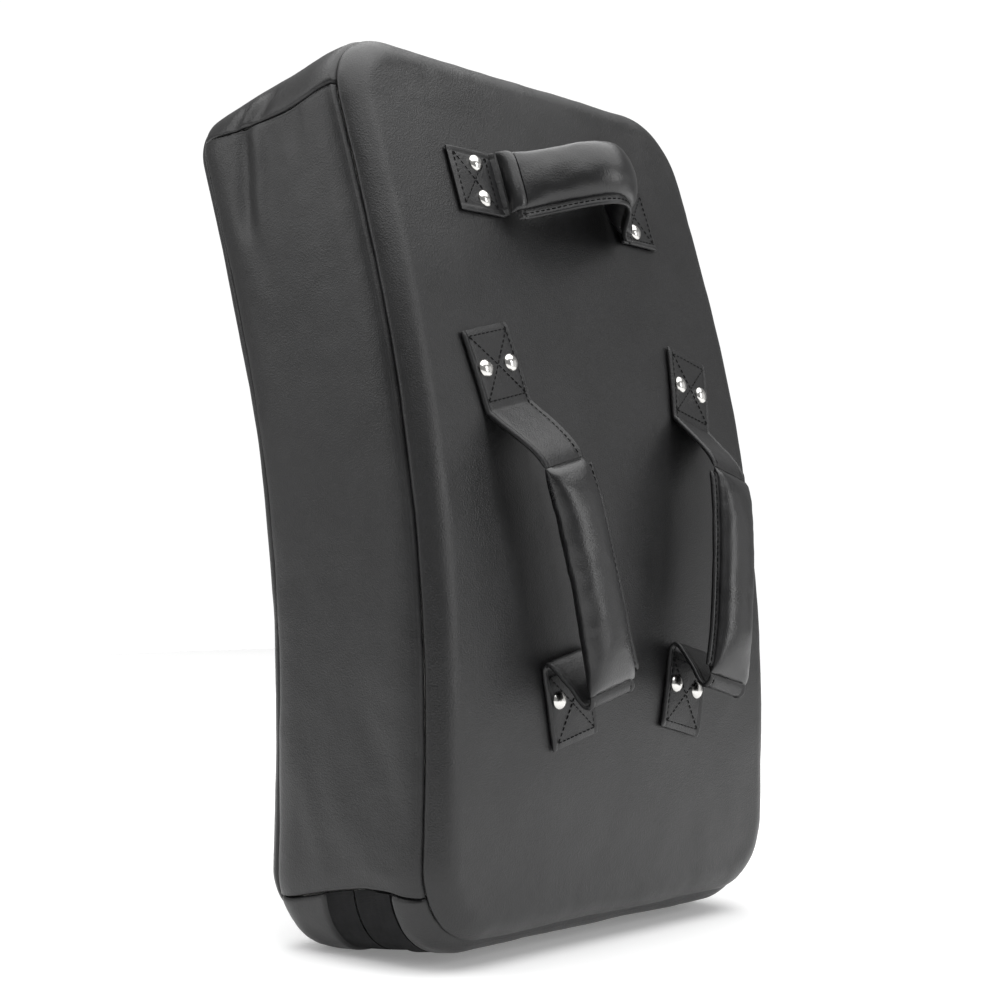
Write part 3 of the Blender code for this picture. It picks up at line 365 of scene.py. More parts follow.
def outline(side, q, level, depth=0.0):
    """A point (x, s) of the outline, this much further in.

    q runs from -1 at the bottom's middle to RUNGS + 1 at the top's.
    """
    half, radius = WIDTH / 2 - level.inset, level.radius
    low, high = level.inset, LENGTH - level.inset
    if q <= 0:
        x, s, nx, ns = (1 + q) * (half - radius), low, 0.0, -1.0
    elif q < CORNER_STEPS:
        turn = q / CORNER_STEPS * math.pi / 2
        nx, ns = math.sin(turn), -math.cos(turn)
        x, s = half - radius + radius * nx, low + radius + radius * ns
    elif q <= CORNER_STEPS + SIDE_STEPS:
        share = (q - CORNER_STEPS) / SIDE_STEPS
        x, s, nx, ns = half, low + radius + share * (high - low - 2 * radius), 1.0, 0.0
    elif q < RUNGS:
        turn = (q - CORNER_STEPS - SIDE_STEPS) / CORNER_STEPS * math.pi / 2
        nx, ns = math.cos(turn), math.sin(turn)
        x, s = half - radius + radius * nx, high - radius + radius * ns
    else:
        x, s, nx, ns = (RUNGS + 1 - q) * (half - radius), high, 0.0, 1.0
    end_dome = level.bottom if ns < 0 else level.dome * TOP_DOME
    out = end_dome * ns**2 + level.dome * SIDE_DOME * nx**2 - level.depth - depth
    return side * (x + out * nx), s + out * ns


def rim(side, q, level, bulging=False, depth=0.0):
    x, s = outline(side, q, level, depth)
    return place(x, s, level.t - (bulge(x, s) if bulging else 0.0))


# ---------------------------------------------------------------- mesh helpers


def grid_mesh(name, rows, closed=False):
    """A mesh object from rows of points. Closed joins the ends of each row."""
    count = len(rows[0])
    points = [point for row in rows for point in row]
    faces = []
    for r in range(len(rows) - 1):
        for i in range(count if closed else count - 1):
            j = (i + 1) % count
            faces.append((r * count + i, r * count + j, (r + 1) * count + j, (r + 1) * count + i))
    return new_object(name, points, faces)


def new_object(name, points, faces):
    mesh = bpy.data.meshes.new(name)
    mesh.from_pydata([tuple(p) for p in points], [], faces)
    mesh.validate()
    obj = bpy.data.objects.new(name, mesh)
    bpy.context.scene.collection.objects.link(obj)
    return obj


def apply_modifiers(obj):
    graph = bpy.context.evaluated_depsgraph_get()
    made = bpy.data.meshes.new_from_object(obj.evaluated_get(graph))
    obj.modifiers.clear()
    obj.data = made
    return obj


def merge_points(obj, distance=0.00001):
    weld = obj.modifiers.new("weld", "WELD")
    weld.merge_threshold = distance
    return apply_modifiers(obj)


def match_normals(obj):
    """Turns all faces the same way: outwards, on a closed body."""
    bm = bmesh.new()
    bm.from_mesh(obj.data)
    bmesh.ops.recalc_face_normals(bm, faces=bm.faces)
    bm.to_mesh(obj.data)
    bm.free()
    return obj


def face_away_from(obj, centre):
    """Turns an open surface's faces away from a point inside."""
    match_normals(obj)
    mesh = obj.data
    outward = sum(face.normal.dot(face.center - centre) * face.area for face in mesh.polygons)
    if outward < 0:
        mesh.flip_normals()
    return obj


def shell(obj, thickness, offset=-1.0):
    """Gives an open surface a thickness."""
    wall = obj.modifiers.new("thickness", "SOLIDIFY")
    wall.thickness, wall.offset = thickness, offset
    return apply_modifiers(obj)


def dress(obj, look, slot, body, *nodes):
    """The finish, body and CAD nodes of a piece."""
    obj.data.materials.clear()
    obj.data.materials.append(look)
    return settle(obj, slot, body, *nodes)


def settle(obj, slot, body, *nodes):
    obj.data.shade_smooth()
    obj.data.set_sharp_from_angle(angle=math.radians(50))
    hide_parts(*nodes)
    if body:
        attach(obj, body)
    return obj


def ripple(point, scale, seed):
    """Smooth noise of about -1 to 1 with this wavelength."""
    return noise.noise(point / scale + Vector((seed, 2 * seed, 3 * seed)))


def crumple(obj, amounts, seed, weight=lambda point: 1.0):
    """Moves each point along its normal by noise of each (height, wavelength)."""
    mesh = obj.data
    normals = [v.normal.copy() for v in mesh.vertices]
    for vertex, normal in zip(mesh.vertices, normals):
        share = weight(vertex.co)
        if share <= 0:
            continue
        move = sum(height * ripple(vertex.co, scale, seed + i) for i, (height, scale) in enumerate(amounts))
        vertex.co += normal * move * share
    mesh.update()
    return obj


# ---------------------------------------------------------------- cover panels

PAD_CENTRE = place(0.0, LENGTH / 2, 0.0)
FINE_QS = [i / QS_PER_STEP for i in range(QS_PER_STEP * RUNGS + 1)]
EDGE_QS = [-1 + i / ACROSS for i in range(ACROSS)]
RIM_QS = EDGE_QS + FINE_QS + [RUNGS - q for q in reversed(EDGE_QS)]


def seam_depth(away, welt=0.0):
    """How deep the leather lies this far from its seam."""
    return DIP * math.exp(-away / DIP_WIDE) - welt * math.exp(-(((away - WELT_AT) / WELT_WIDE) ** 2))


def make_face_panel(name, side, node):
    """The back or the strike panel, with its edge turned down into the seam."""
    edge = EDGE_FRONT if side > 0 else EDGE_BACK
    bulging = side < 0
    long = SEAM_ANGLE * edge - SEAM_GAP
    aways = [*NEAR_SEAM, *np.linspace(0.0085, long, 9)]
    rings = []
    for away in aways:
        level = edge_level(side, max((long - away) / edge, 0.0), seam_depth(away))
        right = [rim(1, q, level, bulging) for q in RIM_QS]
        left = [rim(-1, q, level, bulging) for q in RIM_QS[-2:0:-1]]
        rings.append(right + left)
    body = grid_mesh(name, rings, closed=True)
    rows = []
    flat = edge_level(side, 0.0, seam_depth(long))
    for q in FINE_QS:
        x_end, s = outline(1, q, flat)
        xs = [x_end * i / ACROSS for i in range(-ACROSS, ACROSS + 1)]
        rows.append([place(x, s, flat.t - (bulge(x, s) if bulging else 0.0)) for x in xs])
    face = grid_mesh(name + "_face", rows)
    join(body, face)
    merge_points(body, 0.00003)
    face_away_from(body, PAD_CENTRE)
    crumple(body, COVER_WAVES, 3 if side > 0 else 11, lambda p: panel_weight(p, side))
    return dress(shell(body, LEATHER), COVER, "cover_leather", "pad", node)


def panel_weight(point, side):
    """Full waviness in the open, and none under the handles' tabs, where the leather is held flat."""
    if side > 0:
        return 1.0
    near = min((point - spot).length for spot in TAB_SPOTS)
    return smooth_step(near, TAB_FLAT, TAB_FREE)


def join(obj, *others):
    with bpy.context.temp_override(active_object=obj, selected_editable_objects=[obj, *others]):
        bpy.ops.object.join()
    return obj


def seam_step(seam, t):
    return float(np.interp(t, *zip(*seam)))


def wall_stops(front, rear):
    """Distances along the wall between two edges, close together near both."""
    middle = np.linspace(front + 0.0085, rear - 0.0085, max(3, int((rear - front) / 0.005)))
    near_rear = [rear - away for away in reversed(NEAR_SEAM)]
    return [front + away for away in NEAR_SEAM] + list(middle) + near_rear


EDGE_RUN = (math.pi / 2 - SEAM_ANGLE) * EDGE_BACK
WALL_RUN = THICKNESS - EDGE_FRONT - EDGE_BACK + 2 * EDGE_RUN


def wall_level(run):
    """The level this far along the wall from the strike seam towards the back seam."""
    if run < EDGE_RUN:
        return edge_level(1, SEAM_ANGLE + run / EDGE_RUN * (math.pi / 2 - SEAM_ANGLE))
    if run > WALL_RUN - EDGE_RUN:
        return edge_level(-1, SEAM_ANGLE + (WALL_RUN - run) / EDGE_RUN * (math.pi / 2 - SEAM_ANGLE))
    return Level(THICKNESS / 2 - EDGE_FRONT - (run - EDGE_RUN))


def run_at(t):
    return EDGE_RUN + THICKNESS / 2 - EDGE_FRONT - t


def corner_step(level):
    """Length of one step round a corner at this level."""
    return (level.radius + 0.006) * math.pi / 2 / CORNER_STEPS


# Soft folds pressed into the sides, as (q, t) ends, half width and height
SIDE_FOLDS = [
    ((5.4, -0.052), (7.2, 0.020), 0.0050, 0.0010),
    ((6.6, -0.060), (8.8, -0.004), 0.0060, -0.0009),
    ((5.6, 0.010), (8.0, 0.050), 0.0060, 0.0008),
    ((16.4, 0.040), (18.5, 0.016), 0.0050, -0.0028),
    ((16.2, 0.026), (18.4, 0.004), 0.0060, 0.0020),
    ((17.4, -0.020), (18.4, -0.036), 0.0060, -0.0012),
    ((15.0, 0.030), (17.2, 0.056), 0.0070, 0.0008),
]
TOP_FOLDS = [
    ((18.6, 0.022), (20.6, 0.004), 0.0042, 0.0034),
    ((18.6, 0.034), (20.8, 0.018), 0.0050, -0.0028),
    ((18.7, 0.006), (20.6, -0.012), 0.0050, -0.0022),
    ((22.6, -0.020), (24.2, 0.050), 0.0070, 0.0007),
]
BOTTOM_FOLDS = [
    ((1.2, -0.058), (3.4, -0.048), 0.0040, 0.0007),
    ((0.2, 0.030), (3.0, 0.056), 0.0060, 0.0006),
]
STEP_LONG = 0.0125


def fold_height(q, t, folds):
    height = 0.0
    for (q_a, t_a), (q_b, t_b), wide, high in folds:
        start = np.array((q_a * STEP_LONG, t_a))
        run = np.array((q_b * STEP_LONG, t_b)) - start
        at = np.array((q * STEP_LONG, t)) - start
        share = float(at @ run / (run @ run))
        off = float(np.linalg.norm(at - np.clip(share, 0, 1) * run))
        fade = smooth_step(share, -0.15, 0.35) * (1 - smooth_step(share, 0.65, 1.15))
        height += high * fade * math.exp(-((off / wide) ** 2))
    return height


def wall_depth(run, front, rear, welt_front=0.0, welt_rear=0.0):
    return seam_depth(run - front, welt_front) + seam_depth(rear - run, welt_rear)


def make_side_gusset(name, side):
    """One long side of the cover, sewn to both panels and to both end gussets."""
    stops = wall_stops(SEAM_GAP, WALL_RUN - SEAM_GAP)
    rows = []
    for run in stops:
        level = wall_level(run)
        step = corner_step(level)
        first = seam_step(BOTTOM_SEAM, level.t) + SEAM_GAP / step
        last = RUNGS - seam_step(TOP_SEAM, level.t) - SEAM_GAP / step
        near = [away / step for away in NEAR_SEAM]
        qs = [first + n for n in near] + list(np.linspace(first + 0.8, last - 0.8, 112))
        qs += [last - n for n in reversed(near)]
        across = wall_depth(run, SEAM_GAP, WALL_RUN - SEAM_GAP, WELT / 2, WELT)
        row = []
        for q in qs:
            ends = seam_depth((q - first) * step, WELT) + seam_depth((last - q) * step, WELT)
            depth = across + ends - fold_height(q, level.t, SIDE_FOLDS)
            row.append(rim(side, q, level, depth=depth))
        rows.append(row)
    obj = face_away_from(grid_mesh(name + "_cover", rows), PAD_CENTRE)
    crumple(obj, COVER_WAVES, 21 + side)
    return dress(shell(obj, LEATHER), COVER, "cover_leather", "pad", name)


def end_qs(level, seam):
    """Stations from the left side seam to the right one, with each one's distance from its seam."""
    step = corner_step(level)
    last = seam_step(seam, level.t) - SEAM_GAP / step
    near = [last - away / step for away in NEAR_SEAM]
    half = near + list(np.linspace(last - 0.75, 0.0, 20))[:-1] + [-i / 22 for i in range(22)]
    left = [(-1, q, (last - q) * step if q > 0 else 1.0) for q in half]
    return left + [(1, -1.0, 1.0)] + [(-s, q, away) for s, q, away in reversed(left)]


def make_end_gusset(name, front, rear, top=False, welts=(WELT / 2, WELT)):
    """A cover piece across one end, between two lines along the wall."""
    seam, folds = (TOP_SEAM, TOP_FOLDS) if top else (BOTTOM_SEAM, BOTTOM_FOLDS)
    rows = []
    for run in wall_stops(front, rear):
        level = wall_level(run)
        across = wall_depth(run, front, rear, *welts)
        row = []
        for side, q, away in end_qs(level, seam):
            place_q = RUNGS - q if top else q
            depth = across + seam_depth(away) - fold_height(place_q, level.t, folds)
            row.append(rim(side, place_q, level, depth=depth))
        rows.append(row)
    obj = face_away_from(grid_mesh(name + "_cover", rows), PAD_CENTRE)
    crumple(obj, COVER_WAVES, 31 if top else 41)
    return dress(shell(obj, LEATHER), COVER, "cover_leather", "pad", name)


def make_cover():
    panels = [make_face_panel("back_panel_cover", -1, "back_panel"),
              make_face_panel("strike_panel_cover", 1, "strike_panel")]
    sides = [make_side_gusset("left_gusset", -1), make_side_gusset("right_gusset", 1)]
    whole = (SEAM_GAP, WALL_RUN - SEAM_GAP)
    top = make_end_gusset("top_gusset", *whole, top=True)
    to_zip, from_zip = run_at(ZIP_FRONT_EDGE), run_at(ZIP_REAR_EDGE)
    front = make_end_gusset("bottom_gusset_front", whole[0], to_zip, welts=(WELT / 2, 0.0))
    rear = make_end_gusset("bottom_gusset_rear", from_zip, whole[1], welts=(0.0, WELT))


# ---------------------------------------------------------------- foam, patches and the zip


def soft_copy(node, look, slot, body):
    """A finer piece in the place of a CAD node that lies inside another piece."""
    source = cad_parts[node]
    obj = bpy.data.objects.new(node + "_fill", source.data.copy())
    bpy.context.scene.collection.objects.link(obj)
    merge_points(obj)
    finer = obj.modifiers.new("finer", "SUBSURF")
    finer.subdivision_type = "SIMPLE"
    finer.levels = finer.render_levels = 2
    apply_modifiers(obj)
    return dress(obj, look, slot, body, node)


def make_fillings():
    for layer, fill in (("comfort", 0.8), ("core", 0.95), ("impact", 1.0)):
        soft_copy(f"foam_{layer}_layer", FOAM, "foam", "pad")
    for name in ("left", "right", "top"):
        soft_copy(f"{name}_backing_patch", BACKING, "backing_fabric", "pad")
        roll = soft_copy(f"{name}_handle_grip_padding", FOAM, "foam", f"{name}_handle")


def tape_level(t, q, above):
    """The tapes' surface: sunk where the slider runs, and close under the leather elsewhere."""
    sunk = 1 - smooth_step(abs(t - ZIP_LINE), TAPE_LOW_HALF, TAPE_HIGH_HALF)
    sunk *= 1 - smooth_step(q, TAPE_LOW_TO, TAPE_HIGH_FROM)
    level = Level(t)
    level.bottom += sunk * (BOTTOM_DOME - TAPE_DEPTH - level.bottom)
    level.depth = (1 - sunk) * TAPE_EDGE_DEPTH - above
    return level


def bottom_strip(name, t_from, t_to, count, level_at, look, slot, node, thickness):
    rows = []
    for t in np.linspace(t_from, t_to, count):
        stations = end_qs(Level(t), BOTTOM_SEAM)
        rows.append([rim(side, q, level_at(t, q)) for side, q, _ in stations])
    obj = face_away_from(grid_mesh(name, rows), PAD_CENTRE)
    crumple(obj, TAPE_WAVES, 9)
    return dress(shell(obj, thickness, 0.0), look, slot, "pad", node)


def unit_ring(count):
    return [(math.cos(a), math.sin(a)) for a in np.linspace(0, 2 * math.pi, count + 1)[:-1]]


def add_lozenge(points, faces, sections):
    """Adds a closed body from its rings of points."""
    start, count = len(points), len(sections[0])
    for section in sections:
        points += section
    for r in range(len(sections) - 1):
        for i in range(count):
            j = (i + 1) % count
            low = start + r * count
            faces.append((low + i, low + j, low + count + j, low + count + i))
    last = start + (len(sections) - 1) * count
    faces.append(tuple(start + i for i in reversed(range(count))))
    faces.append(tuple(last + i for i in range(count)))


def make_coil(name, middle, node):
    """The row of moulded coil turns along one tape's edge."""
    points, faces = [], []
    rise = TAPE_THICK / 2 + SEAM_GAP + COIL_THICK / 2
    for x in np.arange(-COIL_HALF, COIL_HALF, COIL_PITCH):
        centre = Vector((x, middle + PAD_SHIFT_Y, TAPE_DEPTH - rise))
        sections = []
        for share in (-1.0, -0.75, 0.0, 0.75, 1.0):
            wide = math.sqrt(max(1 - share**2, 0.05)) * COIL_THICK / 2
            sections.append([centre + Vector((c * wide * 0.85, share * COIL_WIDE / 2, d * wide))
                             for c, d in unit_ring(THREAD_RING)])
        add_lozenge(points, faces, sections)
    return dress(new_object(name, points, faces), COIL, "zip_coil", "pad", node)


def make_zip():
    inner = COIL_GAP / 2

    def flat(t, q):
        return tape_level(t, q, 0.0)

    hidden = 0.0055
    for side, word, edge in ((1, "front", ZIP_FRONT_EDGE + hidden), (-1, "rear", ZIP_REAR_EDGE - hidden)):
        bottom_strip(f"zip_{word}_tape_cloth", ZIP_LINE + side * inner, edge, 16, flat, TAPE, "zip_tape",
                     f"zip_tape_{word}", TAPE_THICK)
        make_coil(f"zip_{word}_coil_turns", ZIP_LINE + side * (inner + COIL_WIDE / 2), f"zip_coil_{word}")
    bottom_strip("zip_guard_ribbon", GUARD_EDGE, ZIP_REAR_EDGE + SEAM_GAP, 6,
                 lambda t, q: Level(t, 0.0, GUARD_DEPTH), TAPE, "zip_tape", "zip_guard", GUARD_THICK)
    for node in ("zip_slider", "zip_pull", "zip_closed_end_stop", "zip_open_end_stop"):
        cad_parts[node].data.materials.clear()
        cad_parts[node].data.materials.append(ZIP_METAL)


# ---------------------------------------------------------------- strap handles

TAB_HEIGHT = TAB_LIFT + STRAP_THICK / 2


class Handle:
    """One strap handle, laid out along its own line: a along the strap, w across it."""

    def __init__(self, name, side, x, s, turn):
        self.name, self.side, self.x, self.s = name, side, x, s
        self.along = (math.sin(turn), math.cos(turn))
        self.across = (math.cos(turn), -math.sin(turn))

    def on_panel(self, a, w):
        x = self.x + a * self.along[0] + w * self.across[0]
        return self.side * x, self.s + a * self.along[1] + w * self.across[1]

    def at(self, a, w, height):
        return on_back(*self.on_panel(a, w), height)


TOP_HANDLE = Handle("top_handle", -1, 0.0, TOP_HANDLE_S, -math.pi / 2)
SIDE_HANDLES = [Handle("left_handle", -1, SIDE_HANDLE_X, SIDE_HANDLE_S, SIDE_SPLAY),
                Handle("right_handle", 1, SIDE_HANDLE_X, SIDE_HANDLE_S, SIDE_SPLAY)]
TAB_SPOTS = [h.at(a, w, 0.0) for h in SIDE_HANDLES for a in (0.218, 0.0) for w in (-0.01, 0.01)]
TAB_SPOTS += [TOP_HANDLE.at(side * 0.0945, w, 0.0) for side in (-1, 1) for w in (-0.01, 0.01)]

# Routes as (a, height, width)
UPPER_LEG = [
    (0.2452, TAB_HEIGHT, STRAP_WIDE), (0.2300, TAB_HEIGHT, STRAP_WIDE), (0.2100, TAB_HEIGHT, STRAP_WIDE),
    (0.1920, TAB_HEIGHT, STRAP_WIDE), (0.1880, 0.0042, 0.0495), (0.1835, 0.0080, 0.0490),
    (0.1780, 0.0131, 0.0485), (0.1700, 0.0205, 0.0470), (0.1620, 0.0275, 0.0450), (0.1545, 0.0328, 0.0435),
    (0.1476, 0.0358, 0.0425),
]
LOWER_LEG = [
    (0.0052, 0.0404, 0.0485), (0.0012, 0.0396, 0.0485), (-0.0016, 0.0368, 0.0480),
    (-0.0008, 0.0325, 0.0480), (0.0035, 0.0283, 0.0480), (0.0095, 0.0239, 0.0480),
    (0.0165, 0.0175, 0.0485), (0.0220, 0.0125, 0.0490), (0.0252, 0.0092, 0.0495),
    (0.0262, 0.0062, 0.0500), (0.0245, 0.0034, 0.0500), (0.0215, TAB_HEIGHT, STRAP_WIDE),
    (0.0100, TAB_HEIGHT, STRAP_WIDE), (-0.0100, TAB_HEIGHT, STRAP_WIDE), (-0.0317, TAB_HEIGHT, STRAP_WIDE),
]
# The flat ends that carry the stitched panels, and where each leg goes over from the pad to the grip
UPPER_TAB, LOWER_TAB, TOP_TAB = (0.1920, 0.2452), (-0.0317, 0.0215), (0.0735, 0.1170)
UPPER_BEND = ((0.1850, 0.0080), (0.1600, 0.0080))
LOWER_BEND = ((0.0120, 0.0060), (0.0120, 0.0260))
TOP_BEND = ((0.0720, 0.0080), (0.0560, 0.0080))
SIDE_PATH = [(0.1470, 0.0360), (0.1300, 0.0378), (0.1000, 0.0388), (0.0600, 0.0396), (0.0220, 0.0403),
             (0.0058, 0.0405)]
SIDE_ENDS = (0.0428, 0.0490)
ARCH, ARCH_FOOT, ARCH_HALF = 0.0560, 0.0105, 0.0705


def top_arch(a):
    return ARCH_FOOT + (ARCH - ARCH_FOOT) * math.cos(math.pi / 2 * a / ARCH_HALF) ** 2


TOP_FOOT = [(0.0694, 0.0078), (0.0672, 0.0102), (0.0642, 0.0134)]
TOP_PATH = TOP_FOOT + [(a, top_arch(a)) for a in np.linspace(0.0605, -0.0605, 13)]
TOP_PATH += [(-a, height) for a, height in reversed(TOP_FOOT)]
TOP_ENDS = (0.0480, 0.0480)


def top_leg(side):
    flat = [(a, TAB_HEIGHT, STRAP_WIDE) for a in (0.1170, 0.1000, 0.0850, 0.0722)]
    lifted = [(0.0704, 0.0042, 0.0495), (0.0694, 0.0062, 0.0490)]
    return [(side * a, height, wide) for a, height, wide in flat + lifted]


def smooth_route(route, spacing):
    """Evenly spaced points on a smooth curve through the route."""
    points = np.array(route, float)
    ghost = np.vstack([2 * points[0] - points[1], points, 2 * points[-1] - points[-2]])
    fine = []
    for i in range(1, len(ghost) - 2):
        p0, p1, p2, p3 = ghost[i - 1:i + 3]
        for u in np.linspace(0, 1, 12, endpoint=False):
            fine.append(0.5 * (2 * p1 + (p2 - p0) * u + (2 * p0 - 5 * p1 + 4 * p2 - p3) * u**2
                               + (3 * p1 - p0 - 3 * p2 + p3) * u**3))
    fine = np.array(fine + [points[-1]])
    steps = np.concatenate([[0], np.cumsum(np.linalg.norm(np.diff(fine[:, :2], axis=0), axis=1))])
    runs = np.linspace(0, steps[-1], max(4, int(steps[-1] / spacing) + 1))
    return np.stack([np.interp(runs, steps, fine[:, k]) for k in range(points.shape[1])], axis=1)


def route_normals(path):
    """Unit vectors (a, height) square to the path, on its outer side."""
    run = np.gradient(path[:, :2], axis=0)
    run /= np.linalg.norm(run, axis=1)[:, None]
    return np.stack([run[:, 1], -run[:, 0]], axis=1)


def strap_height(from_edge, thickness):
    """Half the sleeve's thickness this far in from its edge: a rolled bead, then the stitch groove."""
    rounding = math.sqrt(max(1 - (max(EDGE_ROUND - from_edge, 0.0) / EDGE_ROUND) ** 2, 0.0))
    bead = BEAD * math.exp(-(((from_edge - BEAD_AT) / BEAD_WIDE) ** 2))
    groove = GROOVE * math.exp(-(((from_edge - GROOVE_AT) / GROOVE_WIDE) ** 2))
    return thickness / 2 * rounding + bead * rounding - groove


INWARD = (0.0, 0.0002, 0.0006, 0.0012, 0.0019, 0.0027, 0.0036, 0.0046, 0.0056, 0.0068, 0.0090)


def strap_section(wide, thickness):
    """(w, e) points round the sleeve, outer side first."""
    half = wide / 2
    side = list(INWARD) + list(np.linspace(0.012, half, 6))
    across = [-half + d for d in side] + [half - d for d in reversed(side[:-1])]
    outer = [(w, strap_height(half - abs(w), thickness)) for w in across]
    inner = [(w, -min(e, thickness / 2)) for w, e in reversed(outer[1:-1])]
    return outer + inner


def tube(name, rings):
    """A closed body from rings of points."""
    obj = grid_mesh(name, rings, closed=True)
    count = len(rings[0])
    mesh = obj.data
    points = [v.co.copy() for v in mesh.vertices]
    faces = [tuple(p.vertices) for p in mesh.polygons]
    faces.append(tuple(reversed(range(count))))
    faces.append(tuple(range(len(points) - count, len(points))))
    bpy.data.objects.remove(obj)
    obj = new_object(name, points, faces)
    return match_normals(obj)


def ends_taper(i, count):
    """Closes a sleeve's last two rings to a rounded, folded end."""
    from_end = min(i, count - 1 - i)
    return END_TAPER[from_end] if from_end < len(END_TAPER) else 1.0


def make_sleeve(name, handle, route, thickness=STRAP_THICK, spacing=STRAP_STEP):
    path = smooth_route(route, spacing)
    normals = route_normals(path)
    rings = []
    for i, ((a, height, wide), (na, nh)) in enumerate(zip(path, normals)):
        flat = ends_taper(i, len(path))
        ring = []
        for w, e in strap_section(wide, thickness):
            e *= flat
            ring.append(handle.at(a + e * na, w, height + e * nh))
        rings.append(ring)
    obj = tube(name, rings)
    crumple(obj, STRAP_WAVES, 51)
    return obj, path, normals


def add_stitches(obj, spots):
    """Short thread lengths lying on the piece, as (middle, along, out)."""
    points, faces = [], []
    for middle, along, out in spots:
        along, out = along.normalized(), out.normalized()
        across = along.cross(out)
        sections = []
        for share in (-1.0, -0.8, 0.0, 0.8, 1.0):
            thick = THREAD * (1.0 if abs(share) < 0.9 else 0.45)
            centre = middle + along * (share * STITCH_LONG / 2) + out * (THREAD * 0.55 * (1 - share**2))
            sections.append([centre + across * (c * thick) + out * (d * thick)
                             for c, d in unit_ring(THREAD_RING)])
        add_lozenge(points, faces, sections)
    thread = match_normals(new_object(obj.name + "_thread", points, faces))
    thread.data.materials.append(THREAD_BLACK)
    return join(obj, thread)


def stitches_along(handle, path, normals, first_run, last_run, place_at):
    """Stitch places along a path. place_at gives (w, e), across it and above it, at each run."""
    steps = run_along(path)
    spots = []
    for run in np.arange(first_run, steps[-1] - last_run, STITCH_PITCH):
        a, height = (np.interp(run, steps, path[:, k]) for k in range(2))
        na, nh = (np.interp(run, steps, normals[:, k]) for k in range(2))
        w, e = place_at(run, steps)
        middle = handle.at(a + e * na, w, height + e * nh)
        out = handle.at(a + (e + AIM) * na, w, height + (e + AIM) * nh) - middle
        ahead = handle.at(a + e * na - AIM * nh, w, height + e * nh + AIM * na) - middle
        spots.append((middle, ahead, out))
    return spots


def run_along(path):
    """How far along the path each of its points is."""
    return np.concatenate([[0], np.cumsum(np.linalg.norm(np.diff(path[:, :2], axis=0), axis=1))])


def panel_line(handle, start, end, height):
    """Stitch places on a straight line between two (a, w) points of a flat tab."""
    start, end = np.array(start), np.array(end)
    long = float(np.linalg.norm(end - start))
    count = max(1, int(long / STITCH_PITCH))
    spots = []
    for i in range(count):
        a, w = start + (end - start) * (i + 0.5) / count
        ahead = (end - start) / long * AIM
        middle = handle.at(a, w, height)
        spots.append((middle, handle.at(a + ahead[0], w + ahead[1], height) - middle,
                      handle.at(a, w, height + AIM) - middle))
    return spots


def tab_stitches(handle, a_from, a_to, wide):
    """The two end lines and the cross of stitches that hold a tab down."""
    height = TAB_HEIGHT + STRAP_THICK / 2
    half = wide / 2 - GROOVE_AT
    low, high = a_from + TAB_INSET, a_to - TAB_INSET
    corners = [(low, -half), (low, half), (high, half), (high, -half)]
    spots = []
    for pair in ((0, 1), (2, 3), (0, 2), (1, 3)):
        spots += panel_line(handle, corners[pair[0]], corners[pair[1]], height)
    return spots


def edge_lines(handle, path, normals):
    """The seam along the sleeve's flange side."""
    def place_at(run, steps):
        wide = np.interp(run, steps, path[:, 2])
        w = GROOVE_AT - wide / 2
        return w, strap_height(wide / 2 - abs(w), STRAP_THICK)

    return stitches_along(handle, path, normals, STITCH_PITCH, STITCH_PITCH / 2, place_at)


def make_leg(name, handle, route, tab, nodes, start, end):
    """A tab and the strap that leaves it, in one fixed curve between the pad and the rocking handle."""
    obj, path, normals = make_sleeve(name, handle, route)
    obj.data.materials.append(STRAP)
    add_stitches(obj, edge_lines(handle, path, normals) + tab_stitches(handle, *tab, STRAP_WIDE))
    settle(obj, "strap_leather", None, *nodes)
    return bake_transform(obj)


def grip_size(run, ends):
    """A grip's width and thickness at this share of its length: flat at its ends, full between them."""
    edge = abs(2 * run - 1)
    end_wide = ends[0] if run < 0.5 else ends[1]
    wide = GRIP_WIDE + (end_wide - GRIP_WIDE) * edge**4
    return wide, GRIP_THICK + (GRIP_END_THICK - GRIP_THICK) * edge**5


# The flange's half section, as (share of its width, share of its half thickness)
FLANGE_SHAPE = ((0.0, 0.9), (0.35, 1.0), (0.62, 0.75), (0.8, 1.25), (0.95, 0.9), (1.0, 0.2))


